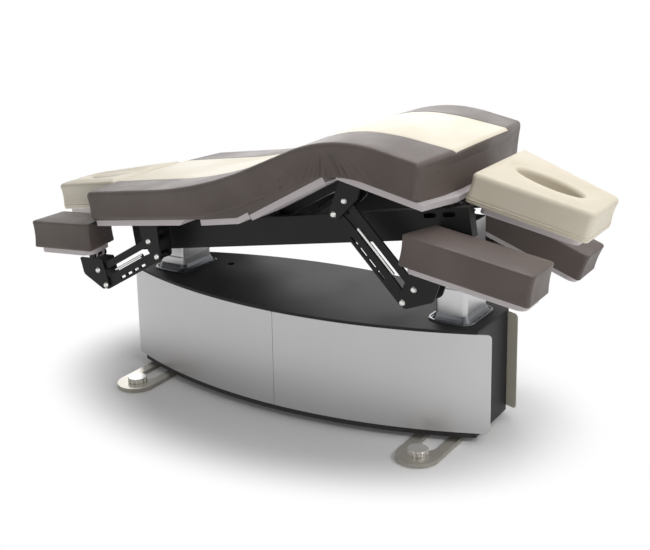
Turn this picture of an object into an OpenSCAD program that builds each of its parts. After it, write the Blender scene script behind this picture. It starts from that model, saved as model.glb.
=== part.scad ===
// Two-column treatment table: a lens-shaped base, a tilting deck, a gabled mattress, four armrests
// on parallel links, a face rest at the head and a plugged one at the foot.
// X runs along the table towards the head, Z is up, and the origin is on the floor under the middle
// of the whole length, a little nearer the foot end than the middle of the base.
// Deck places are [along, up] pairs in the tilted deck plane, measured from above the origin.

/* [Base] */
// Length of the base over its curved side panels
base_length = 1494; // [1440:1:1600]
// Width of the base at its two ends
base_end_width = 224; // [210:1:260]
// Width of the base at its middle
base_mid_width = 540; // [500:1:600]
// Height of the upper face of the base above the floor
base_height = 390; // [370:1:400]
// Distance from the panel ends back to the dark end walls
end_wall_inset = 44; // [20:1:60]
// Thickness of the side panels
panel_thick = 3; // [2:0.5:5]
// Radius of the panels' outer corners
panel_corner = 14; // [6:1:30]
// Height of the panels' lower edge above the floor
panel_low = 36; // [30:1:60]
// Gap where two panels meet at mid length
panel_seam = 1.5; // [1:0.5:4]
// Wall of the inner housing
housing_wall = 3; // [2:0.5:5]
// Thickness of the top plate
top_thick = 10; // [6:1:14]
// Radius of the cable hole in the top plate
cable_hole_r = 14; // [10:1:18]

/* [Floor bars] */
// Length of each floor bar across the table
bar_length = 780; // [740:1:840]
// Width of each floor bar
bar_width = 146; // [130:1:170]
// Thickness of each floor bar
bar_thick = 14; // [10:1:18]
// Width of the long slot in each bar
slot_width = 72; // [50:1:90]
// Distance from the centre line to each levelling knob
knob_offset = 315; // [300:1:330]
// Radius of a levelling knob
knob_r = 35; // [28:1:38]
// Height of a levelling knob
knob_height = 18; // [12:1:24]
// Thickness of the rubber foot pads
pad_thick = 4; // [3:0.5:6]
// Radius of the rubber foot pads
pad_r = 30; // [24:1:36]

/* [Columns] */
// Distance between the two columns
column_spacing = 1174; // [1140:1:1190]
// Size of the column sleeve along the table
sleeve_length = 115; // [105:1:125]
// Size of the column sleeve across the table
sleeve_width = 170; // [160:1:180]
// Wall of the column sleeve
sleeve_wall = 4.5; // [3:0.5:6]
// Top of the foot column's sleeve above the floor
foot_sleeve_top = 440; // [425:1:455]
// Top of the head column's sleeve above the floor
head_sleeve_top = 500; // [440:1:505]
// How far the flange stands out round the sleeve
flange_margin = 26; // [18:1:30]
// Height of the sloping skirt above the top plate
skirt_height = 24; // [16:1:34]

/* [Deck] */
// Height of the deck plane above the floor, above the origin
deck_height = 740; // [725:1:760]
// Slope of the deck, head end up
deck_tilt = 9.7; // [6:0.1:10]
// Depth of the side beams
beam_depth = 97; // [90:1:104]
// Width of the side beams
beam_width = 40; // [34:1:46]
// Outer faces of the side beams, each side of the centre line
beam_reach = 245; // [240:1:248]
// Foot end of the side beams
beam_foot = -650; // [-670:1:-640]
// Head end of the side beams
beam_head = 725; // [718:1:735]
// Thickness of the section plates
plate_thick = 20; // [16:1:20]
// Half width of the section plates
plate_reach = 385; // [375:1:387]

/* [Mattress] */
// Half width of the mattress
mattress_reach = 400; // [395:1:420]
// Half width of the pale centre stripe
stripe_reach = 208; // [180:1:230]
// How far the ends stand out at the centre
end_point = 33; // [20:1:45]
// Radius of the mattress's upper edges
edge_r = 12; // [8:1:18]
// How far the sides draw in at mid height
draw_in = 5; // [2:0.5:8]
// Rise of the crown across the width
crown = 4; // [2:0.5:8]

/* [Gable] */
// Slope of the middle section above the deck
mid_slope = 19.5; // [16:0.1:20]
// Slope of the back section below the deck
back_slope = 22.3; // [20:0.1:23]
// Distance from the middle section's pivot to the knee
mid_reach = 390; // [380:1:395]
// Length of the back section's plate
back_length = 305; // [290:1:315]
// Slope of the leg section above the deck, towards the foot
leg_slope = 1.9; // [0.5:0.1:2.5]
// Length of the leg section from its hinge to the plate's corners
leg_length = 447; // [430:1:460]

/* [Armrests] */
// Length of the links at the head end
head_link = 351; // [340:1:360]
// Length of the links at the foot end
foot_link = 288; // [280:1:296]
// Length of the armrest cushions at the head end
head_pad_length = 430; // [410:1:450]
// Length of the armrest cushions at the foot end
foot_pad_length = 285; // [270:1:300]
// Outer edge of the armrest cushions from the centre line
pad_outer = 420; // [410:1:430]
// Inner edge of the armrest cushions from the centre line
pad_inner = 252; // [250:1:265]
// Thickness of the armrest cushions
pad_height = 100; // [85:1:110]
// Drop of the near head link below its section
head_link_angle = 33.1; // [25:0.1:40]
// Drop of the far head link below its section
far_head_link_angle = 47.5; // [35:0.1:50]
// Drop of the foot links below their section
foot_link_angle = 22.3; // [15:0.1:30]
// Droop of the far head cushion against its bracket
far_pad_droop = 11.7; // [0:0.1:11.8]

/* [Face rest] */
// Length of the end cushions
face_length = 381; // [360:1:400]
// Width of the end cushions where they meet the table
face_width = 412; // [380:1:440]
// Width of the end cushions at the tip
face_tip_width = 235; // [210:1:270]
// Thickness of the end cushions
face_height = 102; // [90:1:110]
// Half length of the oval hole
hole_half_length = 113; // [95:1:120]
// Half width of the oval hole
hole_half_width = 48; // [40:1:55]
// Droop of the face rest below the back section
face_droop = 4.2; // [0:0.1:8]
// Droop of the foot rest below the leg section
foot_rest_droop = 3.1; // [0:0.1:6]

/* [Hidden] */
$fn = 48;

// Clearances: seated faces, running pins, and the overrun of every cut
seat_gap = 0.3;
joint_gap = 0.1;
corner_steps = 4;
side_parts = 10;
run_gap = 0.05;
over = 1;

// Base and columns
base_shift = 25;
half_length = base_length / 2;
wall_x = half_length - end_wall_inset;
bulge = (base_mid_width - base_end_width) / 2;
lens_r = (half_length * half_length + bulge * bulge) / (2 * bulge);
housing_low = pad_thick + bar_thick;
top_low = base_height - top_thick;
column_x = column_spacing / 2;
sleeve_corner = 14;
slide_gap = 0.5;
stage_length = sleeve_length - 2 * (sleeve_wall + slide_gap);
stage_width = sleeve_width - 2 * (sleeve_wall + slide_gap);
stage_wall = 4;
stage_cap = 10;
flange_thick = 6;
flange_ridge = 8;
cable_place = [-430, 78];
stem_r = 6;
flute_r = 6;
flute_count = 14;
slot_margin = 20;
slot_end = knob_offset - stem_r - slot_margin;
foot_stage_low = 150;
head_stage_low = 222;
inlet_size = [30, 48, 28];
inlet_high = 90;
control_size = [190, 120, 150];
control_place = [-330, 0];

// Deck pins: the deck hangs on one pin at the foot column and one at the head column
pin_r = 8;
pin_drop = 95;
function along_deck(x, up) = (x + up * sin(deck_tilt)) / cos(deck_tilt);
function world_z(along, up) = deck_height + along * sin(deck_tilt) + up * cos(deck_tilt);
foot_pin = along_deck(-column_x, -pin_drop);
head_pin = along_deck(column_x, -pin_drop);
foot_pin_z = world_z(foot_pin, -pin_drop);
head_pin_z = world_z(head_pin, -pin_drop);
ear_thick = 10;
ear_r = 13.5;
ear_gap = 2;
lug_clear = 7;
lug_thick = 12;
lug_r = 16;
lug_reach = 32;
lug_top = 80;
slot_slack = 1.6;
slot_back = 20;
slot_front = 11;
slot_wall = 9;

// Beams and cross members
beam_top = -30;
beam_low = beam_top - beam_depth;
beam_wall = 4;
beam_inner = beam_reach - beam_width;
beam_slot = [44, 16];
beam_slots = [590, 656];
beam_slot_up = -50;
cross_wall = 4;
cross_length = 60;
foot_cross_top = -42;
head_cross_top = -50;

// Sections: rails lie between the beams, and each plate's top is a set height above its pivot line
rail_outer = 180;
rail_inner = 150;
back_rail_inner = 120;
rail_half = 14;
plate_rise = 34;
seat_top = 2;
seat_start = -204;
seat_bend = -48;
seat_end = 0;
seat_block = [-190, -70];
leg_hinge = [-235, -10];
leg_top = 14;
leg_pin_r = 6;
leg_eye_r = 11.5;
leg_plate_gap = 36;
leg_bevel = 26;
leg_rail_depth = 20;
mid_bump = 4;
mid_up = plate_rise + beam_top + mid_bump;
mid_pivot = [-16.4, -plate_rise];
mid_plate_start = 36;
mid_plate_end = 360;
knee = mid_pivot + mid_reach * [cos(mid_slope), sin(mid_slope)];
back_reach = mid_reach * sin(mid_slope) / sin(back_slope);
back_plate_start = 3;
glide_r = 13.5;
glide_slack = 0.6;
glide_outer = beam_inner - ear_gap;
glide_width = 17;
runner_start = 640;
runner_end = 719;
runner_thick = 6;
runner_width = 20;
runner_top = mid_pivot.y - glide_r - glide_slack;
bar_size = 22;
rest_post = 24;
rubber = 3;

// Gable actuator
motor_pin = [-40, -100];
motor_pin_r = 7;
push_pin = [200, -32];
push_slack = 1;
push_eye_r = 14;
tube_r = 17;
rod_r = 9;
tube_length = 150;
motor_size = [52, 44, 46];
actuator_lug = 8;

// Arm mechanism: second pivot from the first, link plates and the two ears that hold them
pivot_step = [28, 56];
arm_pin_r = 8;
head_root = [0, -114];
foot_root = [-219, -127];
head_ear = [0, 74];
foot_ear = [-24, 58];
ear_side = 48;
pad_width = pad_outer - pad_inner;
ear_shares = [0.2262, 0.6071];
ear_inner = pad_inner + ear_shares[0] * pad_width;
ear_outer = pad_inner + ear_shares[1] * pad_width;
ear_plate = 8;
link_thick = 8.7;
link_outer = ear_outer - ear_plate - seat_gap;
main_width = 50;
side_width = 26;
link_end_r = 17;
sleeve_r = 12;
dome_r = 9;
dome_height = 6;
lock_rod_r = 4;
lock_rod_up = 33;
lock_rod_share = 0.5;
link_slot_shares = [0.3, 0.43, 0.56, 0.69];
slot_long_share = 0.09;
outrigger = 40;
tilt_pin = [46, 112];
tilt_eye_r = 14;
bracket_low = [54, 42];
bracket_top = [62, 14];
bracket_corners = [22, 4, 6];
pad_rise_angle = 3.5;
pad_place = [-16, 146];
pad_slant = 36;
pad_corner = 14;
arm_plate_inset = 14;
arm_plate_corner = 30;

// End rests
face_hinge = [367, -9];
foot_hinge = [-496, -9.5];
rest_pin_r = 6;
rest_eye_r = 12;
rest_lug = 10;
rest_lug_place = 60;
face_base = [-10, 30];
foot_base = [10, 31];
rest_plate_start = 50;
rest_plate_end = 26;
rest_arm_length = 210;
rest_arm_width = 30;
hole_centre_share = 0.48;
hole_round = 10;
plug_gap = 1.2;
plug_proud = 5;
end_corner = 26;

// Mattress lines: corners are [along, up, half length of the bend]
top_line = [[-699, 126.3], [-175, 110, 222], [371, 254, 176], [661, 137]];
edge_line = [[-700, 27.6], [-128, 7.6, 147], [346, 139, 134], [650, 14.3]];
board_depth = 7;
tuck = 3;
groove = 2.5;
fold_angle = 6.3;
valley_lean = -10;
crest_clear = 0.25;
fade_length = 190;
ease_share = 0.3;
leg_end_up = [-700, -699];
head_end_up = [628, 661];

// Direction of a vector, and the sum of a list of points up to an index
function unit(v) = v / norm(v);
function sum_of(points, i) = i == 0 ? points[0] : points[i] + sum_of(points, i - 1);

// Outline with rounded corners: each corner is [x, y, radius]
function rounded(corners, steps = corner_steps) = [
    for (i = [0 : len(corners) - 1])
        let (
            n = len(corners),
            p = [corners[i].x, corners[i].y],
            q = corners[(i + n - 1) % n],
            s = corners[(i + 1) % n],
            to_q = unit([q.x, q.y] - p),
            to_s = unit([s.x, s.y] - p),
            half = acos(to_q * to_s) / 2,
            r = corners[i][2],
            centre = p + unit(to_q + to_s) * r / sin(half),
            from = p + to_q * r / tan(half) - centre,
            to = p + to_s * r / tan(half) - centre,
            start = atan2(from.y, from.x),
            turn = atan2(from.x * to.y - from.y * to.x, from * to)
        )
        for (k = [0 : steps]) centre + r * [cos(start + turn * k / steps), sin(start + turn * k / steps)]
];

// The same corners moved inwards by a distance, for a convex outline
function inset(corners, d) = [
    for (i = [0 : len(corners) - 1])
        let (
            n = len(corners),
            p = [corners[i].x, corners[i].y],
            q = corners[(i + n - 1) % n],
            s = corners[(i + 1) % n],
            to_q = unit([q.x, q.y] - p),
            to_s = unit([s.x, s.y] - p),
            half = acos(to_q * to_s) / 2,
            moved = p + unit(to_q + to_s) * d / sin(half)
        )
        [moved.x, moved.y, max(corners[i][2] - d, corners[i][2] / 4)]
];

// Straight runs of an outline split so that every ring has points along its sides
function along_sides(outline, parts) = [
    for (i = [0 : len(outline) - 1])
        let (n = len(outline), p = outline[i], q = outline[(i + 1) % n])
        for (k = [0 : (i + 1) % (corner_steps + 1) == 0 ? parts - 1 : 0]) p + (q - p) * k / parts
];

function lift(outline, z) = [for (p = outline) [p.x, p.y, z]];

// Solid through rings of equal point count: open rings get fans, a ring of rings closes on itself
module loft(rings, closed = false) {
    n = len(rings[0]);
    m = len(rings);
    body = [for (r = rings, p = r) p];
    caps = closed ? [] : [sum_of(rings[0], n - 1) / n, sum_of(rings[m - 1], n - 1) / n];
    sides = [
        for (j = [0 : m - (closed ? 1 : 2)], i = [0 : n - 1], t = [0, 1])
            let (a = j * n + i, b = j * n + (i + 1) % n, k = (j + 1) % m,
                c = k * n + (i + 1) % n, d = k * n + i)
            t == 0 ? [a, d, c] : [a, c, b]
    ];
    ends = closed ? [] : [
        for (i = [0 : n - 1], t = [0, 1])
            t == 0 ? [m * n, i, (i + 1) % n]
                : [m * n + 1, (m - 1) * n + (i + 1) % n, (m - 1) * n + i]
    ];
    polyhedron(points = concat(body, caps), faces = concat(sides, ends), convexity = 6);
}

module box(size, at) translate(at) cube(size, center = true);

// Plate with an outline in X and Z, between two distances from the centre line
module plate_xz(y0, y1) translate([0, y1, 0]) rotate([90, 0, 0]) linear_extrude(y1 - y0) children();

module pin_y(at, r, y0, y1) translate([at.x, y1, at.y]) rotate([90, 0, 0]) cylinder(r = r, h = y1 - y0);

module both_sides() {
    children();
    mirror([0, 1, 0]) children();
}

// Frames of the base and of the moving sections
module on_base() translate([base_shift, 0, 0]) children();

module on_deck() translate([base_shift, 0, deck_height]) rotate([0, -deck_tilt, 0]) children();

module on_leg() on_deck() translate([leg_hinge.x, 0, leg_hinge.y]) rotate([0, leg_slope, 0]) children();

module on_mid() on_deck() translate([mid_pivot.x, 0, mid_pivot.y]) rotate([0, -mid_slope, 0]) children();

module on_back() on_mid() translate([mid_reach, 0, 0]) rotate([0, mid_slope + back_slope, 0]) children();

module on_face() on_back() translate([face_hinge.x, 0, face_hinge.y]) rotate([0, face_droop, 0]) children();

module on_foot_rest()
    on_leg() translate([foot_hinge.x, 0, foot_hinge.y]) mirror([1, 0, 0]) rotate([0, foot_rest_droop, 0])
        children();

// Lens outline of the base, a distance inside the panels and cut square at both ends
module lens(inside, half) {
    shift = lens_r - base_mid_width / 2;
    intersection() {
        translate([0, -shift]) circle(r = lens_r - inside, $fn = 360);
        translate([0, shift]) circle(r = lens_r - inside, $fn = 360);
        square([2 * half, base_mid_width], center = true);
    }
}

module base_housing() {
    outside = panel_thick + seat_gap;
    color("dimgray") on_base() difference() {
        translate([0, 0, housing_low]) linear_extrude(top_low - housing_low) lens(outside, wall_x);
        translate([0, 0, housing_low + housing_wall]) linear_extrude(top_low - housing_low)
            lens(outside + housing_wall, wall_x - housing_wall);
        box([4 * housing_wall, inlet_size.y, inlet_size.z], [-wall_x, 0, inlet_high]);
    }
}

module base_top() {
    color("black") on_base() difference() {
        translate([0, 0, top_low]) linear_extrude(top_thick) lens(panel_thick / 2, wall_x + panel_thick);
        for (side = [-1, 1])
            box([sleeve_length + slide_gap, sleeve_width + slide_gap, 4 * top_thick],
                [side * column_x, 0, base_height]);
        translate([cable_place.x, cable_place.y, top_low - over])
            cylinder(r = cable_hole_r, h = top_thick + 2 * over);
    }
}

module side_panels() {
    high = top_low - panel_low;
    color("silver") on_base() intersection() {
        translate([0, 0, panel_low]) linear_extrude(high) difference() {
            lens(0, half_length);
            lens(panel_thick, half_length + over);
        }
        for (side = [0, 1]) mirror([side, 0, 0])
            translate([0, base_mid_width, panel_low]) rotate([90, 0, 0]) linear_extrude(2 * base_mid_width)
                polygon(rounded([
                    [panel_seam / 2, 0, panel_thick], [half_length, 0, panel_corner],
                    [half_length, high, panel_corner], [panel_seam / 2, high, panel_thick]
                ]));
    }
}

module racetrack(long, wide) {
    square([wide, long - wide], center = true);
    for (side = [-1, 1]) translate([0, side * (long - wide) / 2]) circle(r = wide / 2);
}

module floor_bar(x) {
    color("lightgray") on_base() translate([x, 0, pad_thick]) difference() {
        linear_extrude(bar_thick) difference() {
            racetrack(bar_length, bar_width);
            racetrack(2 * slot_end, slot_width);
        }
        for (side = [-1, 1])
            translate([0, side * knob_offset, -over])
                cylinder(r = stem_r + run_gap, h = bar_thick + 2 * over);
    }
}

module floor_bar_foot() floor_bar(-column_x);

module floor_bar_head() floor_bar(column_x);

// Fluted knob, stem and rubber pad of one levelling foot
module levelling_knob(x, y) {
    base = pad_thick + bar_thick + seat_gap;
    color("gainsboro") on_base() translate([x, y, 0]) {
        difference() {
            translate([0, 0, base]) rotate_extrude() polygon([
                [0, 0], [knob_r - over, 0], [knob_r, over], [knob_r, knob_height - 2 * over],
                [knob_r - 2 * over, knob_height], [0, knob_height]
            ]);
            for (i = [0 : flute_count - 1])
                rotate([0, 0, i * 360 / flute_count]) translate([knob_r + flute_r / 2, 0, base - over])
                    cylinder(r = flute_r, h = knob_height + 2 * over);
        }
        translate([0, 0, pad_thick - over]) cylinder(r = stem_r, h = bar_thick + 2 * over);
        cylinder(r = pad_r, h = pad_thick - seat_gap);
    }
}

module levelling_knob_1() levelling_knob(-column_x, -knob_offset);

module levelling_knob_2() levelling_knob(-column_x, knob_offset);

module levelling_knob_3() levelling_knob(column_x, -knob_offset);

module levelling_knob_4() levelling_knob(column_x, knob_offset);

module tube_outline(length, width, corner) {
    polygon(rounded([
        [-length / 2, -width / 2, corner], [length / 2, -width / 2, corner],
        [length / 2, width / 2, corner], [-length / 2, width / 2, corner]
    ]));
}

function flange_corners(margin, corner) = [
    [-sleeve_length / 2 - margin, -sleeve_width / 2 - margin, corner],
    [sleeve_length / 2 + margin, -sleeve_width / 2 - margin, corner],
    [sleeve_length / 2 + margin, sleeve_width / 2 + margin, corner],
    [-sleeve_length / 2 - margin, sleeve_width / 2 + margin, corner]
];

// Fixed sleeve with its ridged flange and sloping skirt on the top plate
module column_sleeve(x, top) {
    inner_l = sleeve_length - 2 * sleeve_wall;
    inner_w = sleeve_width - 2 * sleeve_wall;
    low = housing_low + housing_wall;
    steps = [
        [flange_margin, 0], [flange_margin, flange_thick / 2],
        [flange_margin - flange_thick / 2, flange_thick], [flange_margin - flange_ridge, flange_thick],
        [flange_margin - flange_ridge - over, flange_thick / 2], [flange_margin / 2, flange_thick / 2],
        [flange_margin / 4, skirt_height / 2], [over / 2, skirt_height]
    ];
    color("silver") on_base() translate([x, 0, 0]) difference() {
        union() {
            translate([0, 0, low]) linear_extrude(top - low)
                tube_outline(sleeve_length, sleeve_width, sleeve_corner);
            translate([0, 0, base_height]) loft([
                for (s = steps) lift(rounded(flange_corners(s.x, sleeve_corner + s.x)), s.y)
            ]);
        }
        translate([0, 0, low - over]) linear_extrude(top - low + 2 * over)
            tube_outline(inner_l, inner_w, sleeve_corner - sleeve_wall);
    }
}

module foot_column_sleeve() column_sleeve(-column_x, foot_sleeve_top);

module head_column_sleeve() column_sleeve(column_x, head_sleeve_top);

// Control box on the housing floor and the mains inlet in the foot end wall
module power_unit() {
    recess = [inlet_size.x - 8 * over, inlet_size.y / 2, inlet_size.z / 2];
    color("darkslategray") on_base() {
        box(control_size, [control_place.x, control_place.y,
            housing_low + housing_wall + control_size.z / 2]);
        difference() {
            box([inlet_size.x, inlet_size.y - seat_gap, inlet_size.z - seat_gap],
                [inlet_size.x / 2 - wall_x, 0, inlet_high]);
            box([2 * recess.x, recess.y, recess.z], [-wall_x, 0, inlet_high]);
        }
    }
}

// Inner stage with a cap, two ears and the pin that carries the deck
module column_stage(x, low, pin_z) {
    cap_top = pin_z - lug_r - lug_clear;
    ear_y = lug_reach + ear_gap;
    color("gainsboro") on_base() translate([x, 0, 0]) {
        difference() {
            translate([0, 0, low]) linear_extrude(cap_top - low)
                tube_outline(stage_length, stage_width, sleeve_corner - sleeve_wall);
            translate([0, 0, low - over]) linear_extrude(cap_top - stage_cap - low + over)
                tube_outline(stage_length - 2 * stage_wall, stage_width - 2 * stage_wall,
                    sleeve_corner - sleeve_wall - stage_wall);
        }
        both_sides() {
            pin_y([0, pin_z], ear_r, ear_y, ear_y + ear_thick);
            box([2 * ear_r, ear_thick, pin_z - cap_top + over],
                [0, ear_y + ear_thick / 2, (pin_z + cap_top - over) / 2]);
        }
        pin_y([0, pin_z], pin_r, -ear_y - ear_thick - over, ear_y + ear_thick + over);
    }
}

module foot_column_stage() column_stage(-column_x, foot_stage_low, foot_pin_z);

module head_column_stage() column_stage(column_x, head_stage_low, head_pin_z);

// Hollow side beam with its pivots: leg hinge lug, gable pin and the runner for the back section
module side_beam() {
    long = beam_head - beam_foot;
    centre = [(beam_head + beam_foot) / 2, beam_reach - beam_width / 2, beam_top - beam_depth / 2];
    lug_y = beam_inner + lug_thick;
    seat_under = seat_top - plate_thick - seat_gap;
    color("black") {
        difference() {
            box([long, beam_width, beam_depth], centre);
            box([long - 2 * beam_wall, beam_width - 2 * beam_wall, beam_depth - 2 * beam_wall], centre);
            for (u = beam_slots, side = [-1, 1])
                pin_y([u + side * (beam_slot.x - beam_slot.y) / 2, beam_slot_up], beam_slot.y / 2,
                    beam_reach - 2 * beam_wall, beam_reach + over);
            for (u = beam_slots)
                box([beam_slot.x - beam_slot.y, 4 * beam_wall, beam_slot.y], [u, beam_reach, beam_slot_up]);
        }
        pin_y(leg_hinge, leg_eye_r, lug_y, lug_y + lug_thick);
        box([2 * leg_eye_r, lug_thick, leg_hinge.y - beam_top + over],
            [leg_hinge.x, lug_y + lug_thick / 2, (leg_hinge.y + beam_top - over) / 2]);
        pin_y(leg_hinge, leg_pin_r, rail_inner - 2 * ear_gap, lug_y + over);
        pin_y(mid_pivot, pin_r, rail_inner - 2 * ear_gap, beam_inner + over);
        pin_y(mid_pivot, sleeve_r, rail_outer + ear_gap, beam_inner + over);
        box([seat_block.y - seat_block.x, beam_width, seat_under - beam_top + over],
            [(seat_block.x + seat_block.y) / 2, centre.y, (seat_under + beam_top - over) / 2]);
        box([runner_end - runner_start, runner_width - seat_gap, runner_thick],
            [(runner_end + runner_start) / 2, beam_inner - (runner_width + seat_gap) / 2,
                runner_top - runner_thick / 2]);
    }
}

module side_beam_near() on_deck() mirror([0, 1, 0]) side_beam();

module side_beam_far() on_deck() side_beam();

module cross_tube(at, top, low, length) {
    width = 2 * (beam_inner - joint_gap);
    centre = [at, 0, (top + low) / 2];
    difference() {
        box([length, width, top - low], centre);
        box([length - 2 * cross_wall, width + 2 * over, top - low - 2 * cross_wall], centre);
    }
}

// Cross tube at the foot column, with its two bored lugs and the leg section's rest posts
module cross_foot() {
    post_x = foot_pin;
    post_top = leg_hinge.y - leg_top_drop(post_x + rest_post / 2) - seat_gap;
    color("black") on_deck() {
        cross_tube(foot_pin, foot_cross_top, -lug_top, cross_length);
        both_sides() {
            difference() {
                union() {
                    pin_y([foot_pin, -pin_drop], lug_r, lug_reach - lug_thick, lug_reach);
                    box([2 * lug_r, lug_thick, pin_drop - lug_top + over],
                        [foot_pin, lug_reach - lug_thick / 2, -(pin_drop + lug_top - over) / 2]);
                }
                pin_y([foot_pin, -pin_drop], pin_r + run_gap, 0, lug_reach + over);
            }
            box([rest_post, rest_post, post_top - foot_cross_top],
                [post_x, (rail_inner + rail_outer) / 2, (post_top + foot_cross_top) / 2]);
        }
    }
}

// Height of the leg rails' underside below the hinge line, at a place along the deck
function leg_top_drop(along) =
    (leg_rail_depth + plate_thick - leg_top) / cos(leg_slope) + (along - leg_hinge.x) * tan(leg_slope);

// Cross tube in the middle, with the fork that holds the actuator
module cross_mid() {
    tube_x = motor_pin.x - cross_length;
    color("black") on_deck() {
        cross_tube(tube_x, beam_low + cross_length / 2, beam_low, cross_length);
        both_sides() {
            y = motor_size.y / 2 + ear_gap;
            pin_y(motor_pin, push_eye_r, y, y + actuator_lug);
            box([-tube_x + motor_pin.x - cross_length / 2 + over, actuator_lug, 2 * push_eye_r],
                [(tube_x + motor_pin.x + cross_length / 2 - over) / 2, y + actuator_lug / 2, motor_pin.y]);
            box([cross_length / 2, actuator_lug, 2 * push_eye_r],
                [tube_x + cross_length / 2 - over, y + actuator_lug / 2, motor_pin.y]);
        }
        pin_y(motor_pin, motor_pin_r, -motor_size.y / 2 - ear_gap - over, motor_size.y / 2 + ear_gap + over);
    }
}

// Cross tube at the head column, whose lugs have slots for the pin's travel
module cross_head() {
    back = slot_back + pin_r;
    front = slot_front + pin_r;
    color("black") on_deck() {
        cross_tube(head_pin, head_cross_top, -lug_top, cross_length);
        both_sides() difference() {
            plate_xz(lug_reach - lug_thick, lug_reach) polygon(rounded([
                [head_pin - back - slot_wall, over - lug_top, over],
                [head_pin - back - slot_wall / 2, -pin_drop - lug_r, ear_r],
                [head_pin + front + slot_wall / 2, -pin_drop - lug_r, ear_r],
                [head_pin + front + slot_wall, over - lug_top, over]
            ]));
            for (u = [-slot_back, slot_front])
                pin_y([head_pin + u, -pin_drop], pin_r + slot_slack, 0, lug_reach + over);
            box([slot_back + slot_front, 4 * lug_reach, 2 * (pin_r + slot_slack)],
                [head_pin + (slot_front - slot_back) / 2, 0, -pin_drop]);
        }
    }
}

// Flat fixed plate, bent up at its head end to meet the middle section
module seat_plate() {
    rise = (seat_end - seat_bend) * tan(mid_slope);
    low_bend = seat_bend + plate_thick * tan(mid_slope / 2);
    color("gainsboro") on_deck() plate_xz(-plate_reach, plate_reach) polygon([
        [seat_start, seat_top], [seat_start, seat_top - plate_thick], [low_bend, seat_top - plate_thick],
        [seat_end + plate_thick * sin(mid_slope), seat_top + rise - plate_thick * cos(mid_slope)],
        [seat_end, seat_top + rise], [seat_bend, seat_top]
    ]);
}

// Plate outline with the pointed end of the mattress: straight at the stripe, slanted beyond it
function pointed(start, end, point) = [
    [start, -plate_reach], [end, -plate_reach], [end + point, -stripe_reach], [end + point, stripe_reach],
    [end, plate_reach], [start, plate_reach]
];

module leg_plate() {
    color("gainsboro") on_leg() intersection() {
        translate([0, 0, leg_top - plate_thick]) linear_extrude(plate_thick)
            polygon(pointed(-leg_plate_gap, -leg_length, -end_point));
        plate_xz(-plate_reach, plate_reach) polygon([
            [-leg_plate_gap, leg_top], [-leg_plate_gap - leg_bevel, leg_top - plate_thick],
            [-leg_length - 2 * end_point, leg_top - plate_thick], [-leg_length - 2 * end_point, leg_top]
        ]);
    }
}

module mid_plate() {
    color("gainsboro") on_mid()
        box([mid_plate_end - mid_plate_start, 2 * plate_reach, plate_thick],
            [(mid_plate_start + mid_plate_end) / 2, 0, plate_rise - plate_thick / 2]);
}

module back_plate() {
    color("gainsboro") on_back() translate([0, 0, plate_rise - plate_thick]) linear_extrude(plate_thick)
        polygon(pointed(back_plate_start, back_plate_start + back_length, end_point));
}

// Ear of a hanger: it hangs from the section plate and holds both upper pivots
module hanger_ear(span, top) {
    polygon(rounded([
        [span.x, top, 3 * over], [span.y, top, 3 * over], [span.y, top - ear_side, ear_r],
        [link_end_r - over, over - link_end_r, link_end_r - over],
        [-link_end_r - over, -link_end_r / 2, link_end_r - over]
    ]));
}

// Pins, sleeves and domed heads of one clevis, at the given pivots
module clevis_pins(pivots) {
    for (p = pivots) {
        pin_y(p, arm_pin_r, ear_inner, ear_outer + over);
        pin_y(p, sleeve_r, ear_inner + over, link_outer - link_thick - seat_gap);
        translate([p.x, ear_outer, p.y]) rotate([-90, 0, 0]) scale([1, 1, dome_height / dome_r])
            sphere(r = dome_r);
    }
}

module hanger(span, top) {
    for (y = [ear_inner, ear_outer - ear_plate]) plate_xz(y, y + ear_plate) hanger_ear(span, top);
    clevis_pins([[0, 0], pivot_step]);
    pin_y([span.x + ear_side / 3, top - ear_side / 2], dome_r, ear_inner + over, ear_outer - over);
}

// Rails, cross bars and hangers under the leg section
module leg_frame() {
    rail_top = leg_top - plate_thick;
    rail_low = rail_top - leg_rail_depth;
    end_x = foot_hinge.x + rest_eye_r + bar_size;
    hang_x = foot_root.x - (foot_ear.x + foot_ear.y) / 2;
    rail_y = (rail_outer + rail_inner) / 2;
    rail_z = (rail_top + rail_low) / 2;
    wide = rail_outer - rail_inner;
    color("black") on_leg() {
        both_sides() {
            difference() {
                union() {
                    box([-end_x - leg_plate_gap, wide, leg_rail_depth],
                        [(end_x - leg_plate_gap) / 2, rail_y, rail_z]);
                    pin_y([0, 0], leg_eye_r, rail_inner, rail_outer);
                    box([leg_plate_gap + over, wide, leg_eye_r - rail_top],
                        [-(leg_plate_gap + over) / 2, rail_y, (rail_top - leg_eye_r) / 2 - ear_gap]);
                }
                pin_y([0, 0], leg_pin_r + run_gap, rail_inner - over, rail_outer + over);
            }
            rest_lugs(foot_hinge, end_x - bar_size + over);
            translate([foot_root.x, 0, foot_root.y]) mirror([1, 0, 0])
                hanger(foot_ear, rail_top - foot_root.y);
        }
        box([bar_size, 2 * rail_outer, leg_rail_depth], [end_x - bar_size / 2, 0, rail_z]);
        box([outrigger, 2 * ear_outer - ear_plate, leg_rail_depth], [hang_x, 0, rail_z]);
    }
}

// Bored lugs that reach from an end bar to the pin of a rest
module rest_lugs(hinge, from) {
    y = rest_lug_place;
    difference() {
        union() {
            pin_y(hinge, rest_eye_r, y, y + rest_lug);
            box([abs(hinge.x - from), rest_lug, rest_eye_r],
                [(hinge.x + from) / 2, y + rest_lug / 2, hinge.y]);
        }
        pin_y(hinge, rest_pin_r + run_gap, y - over, y + rest_lug + over);
    }
}

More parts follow.
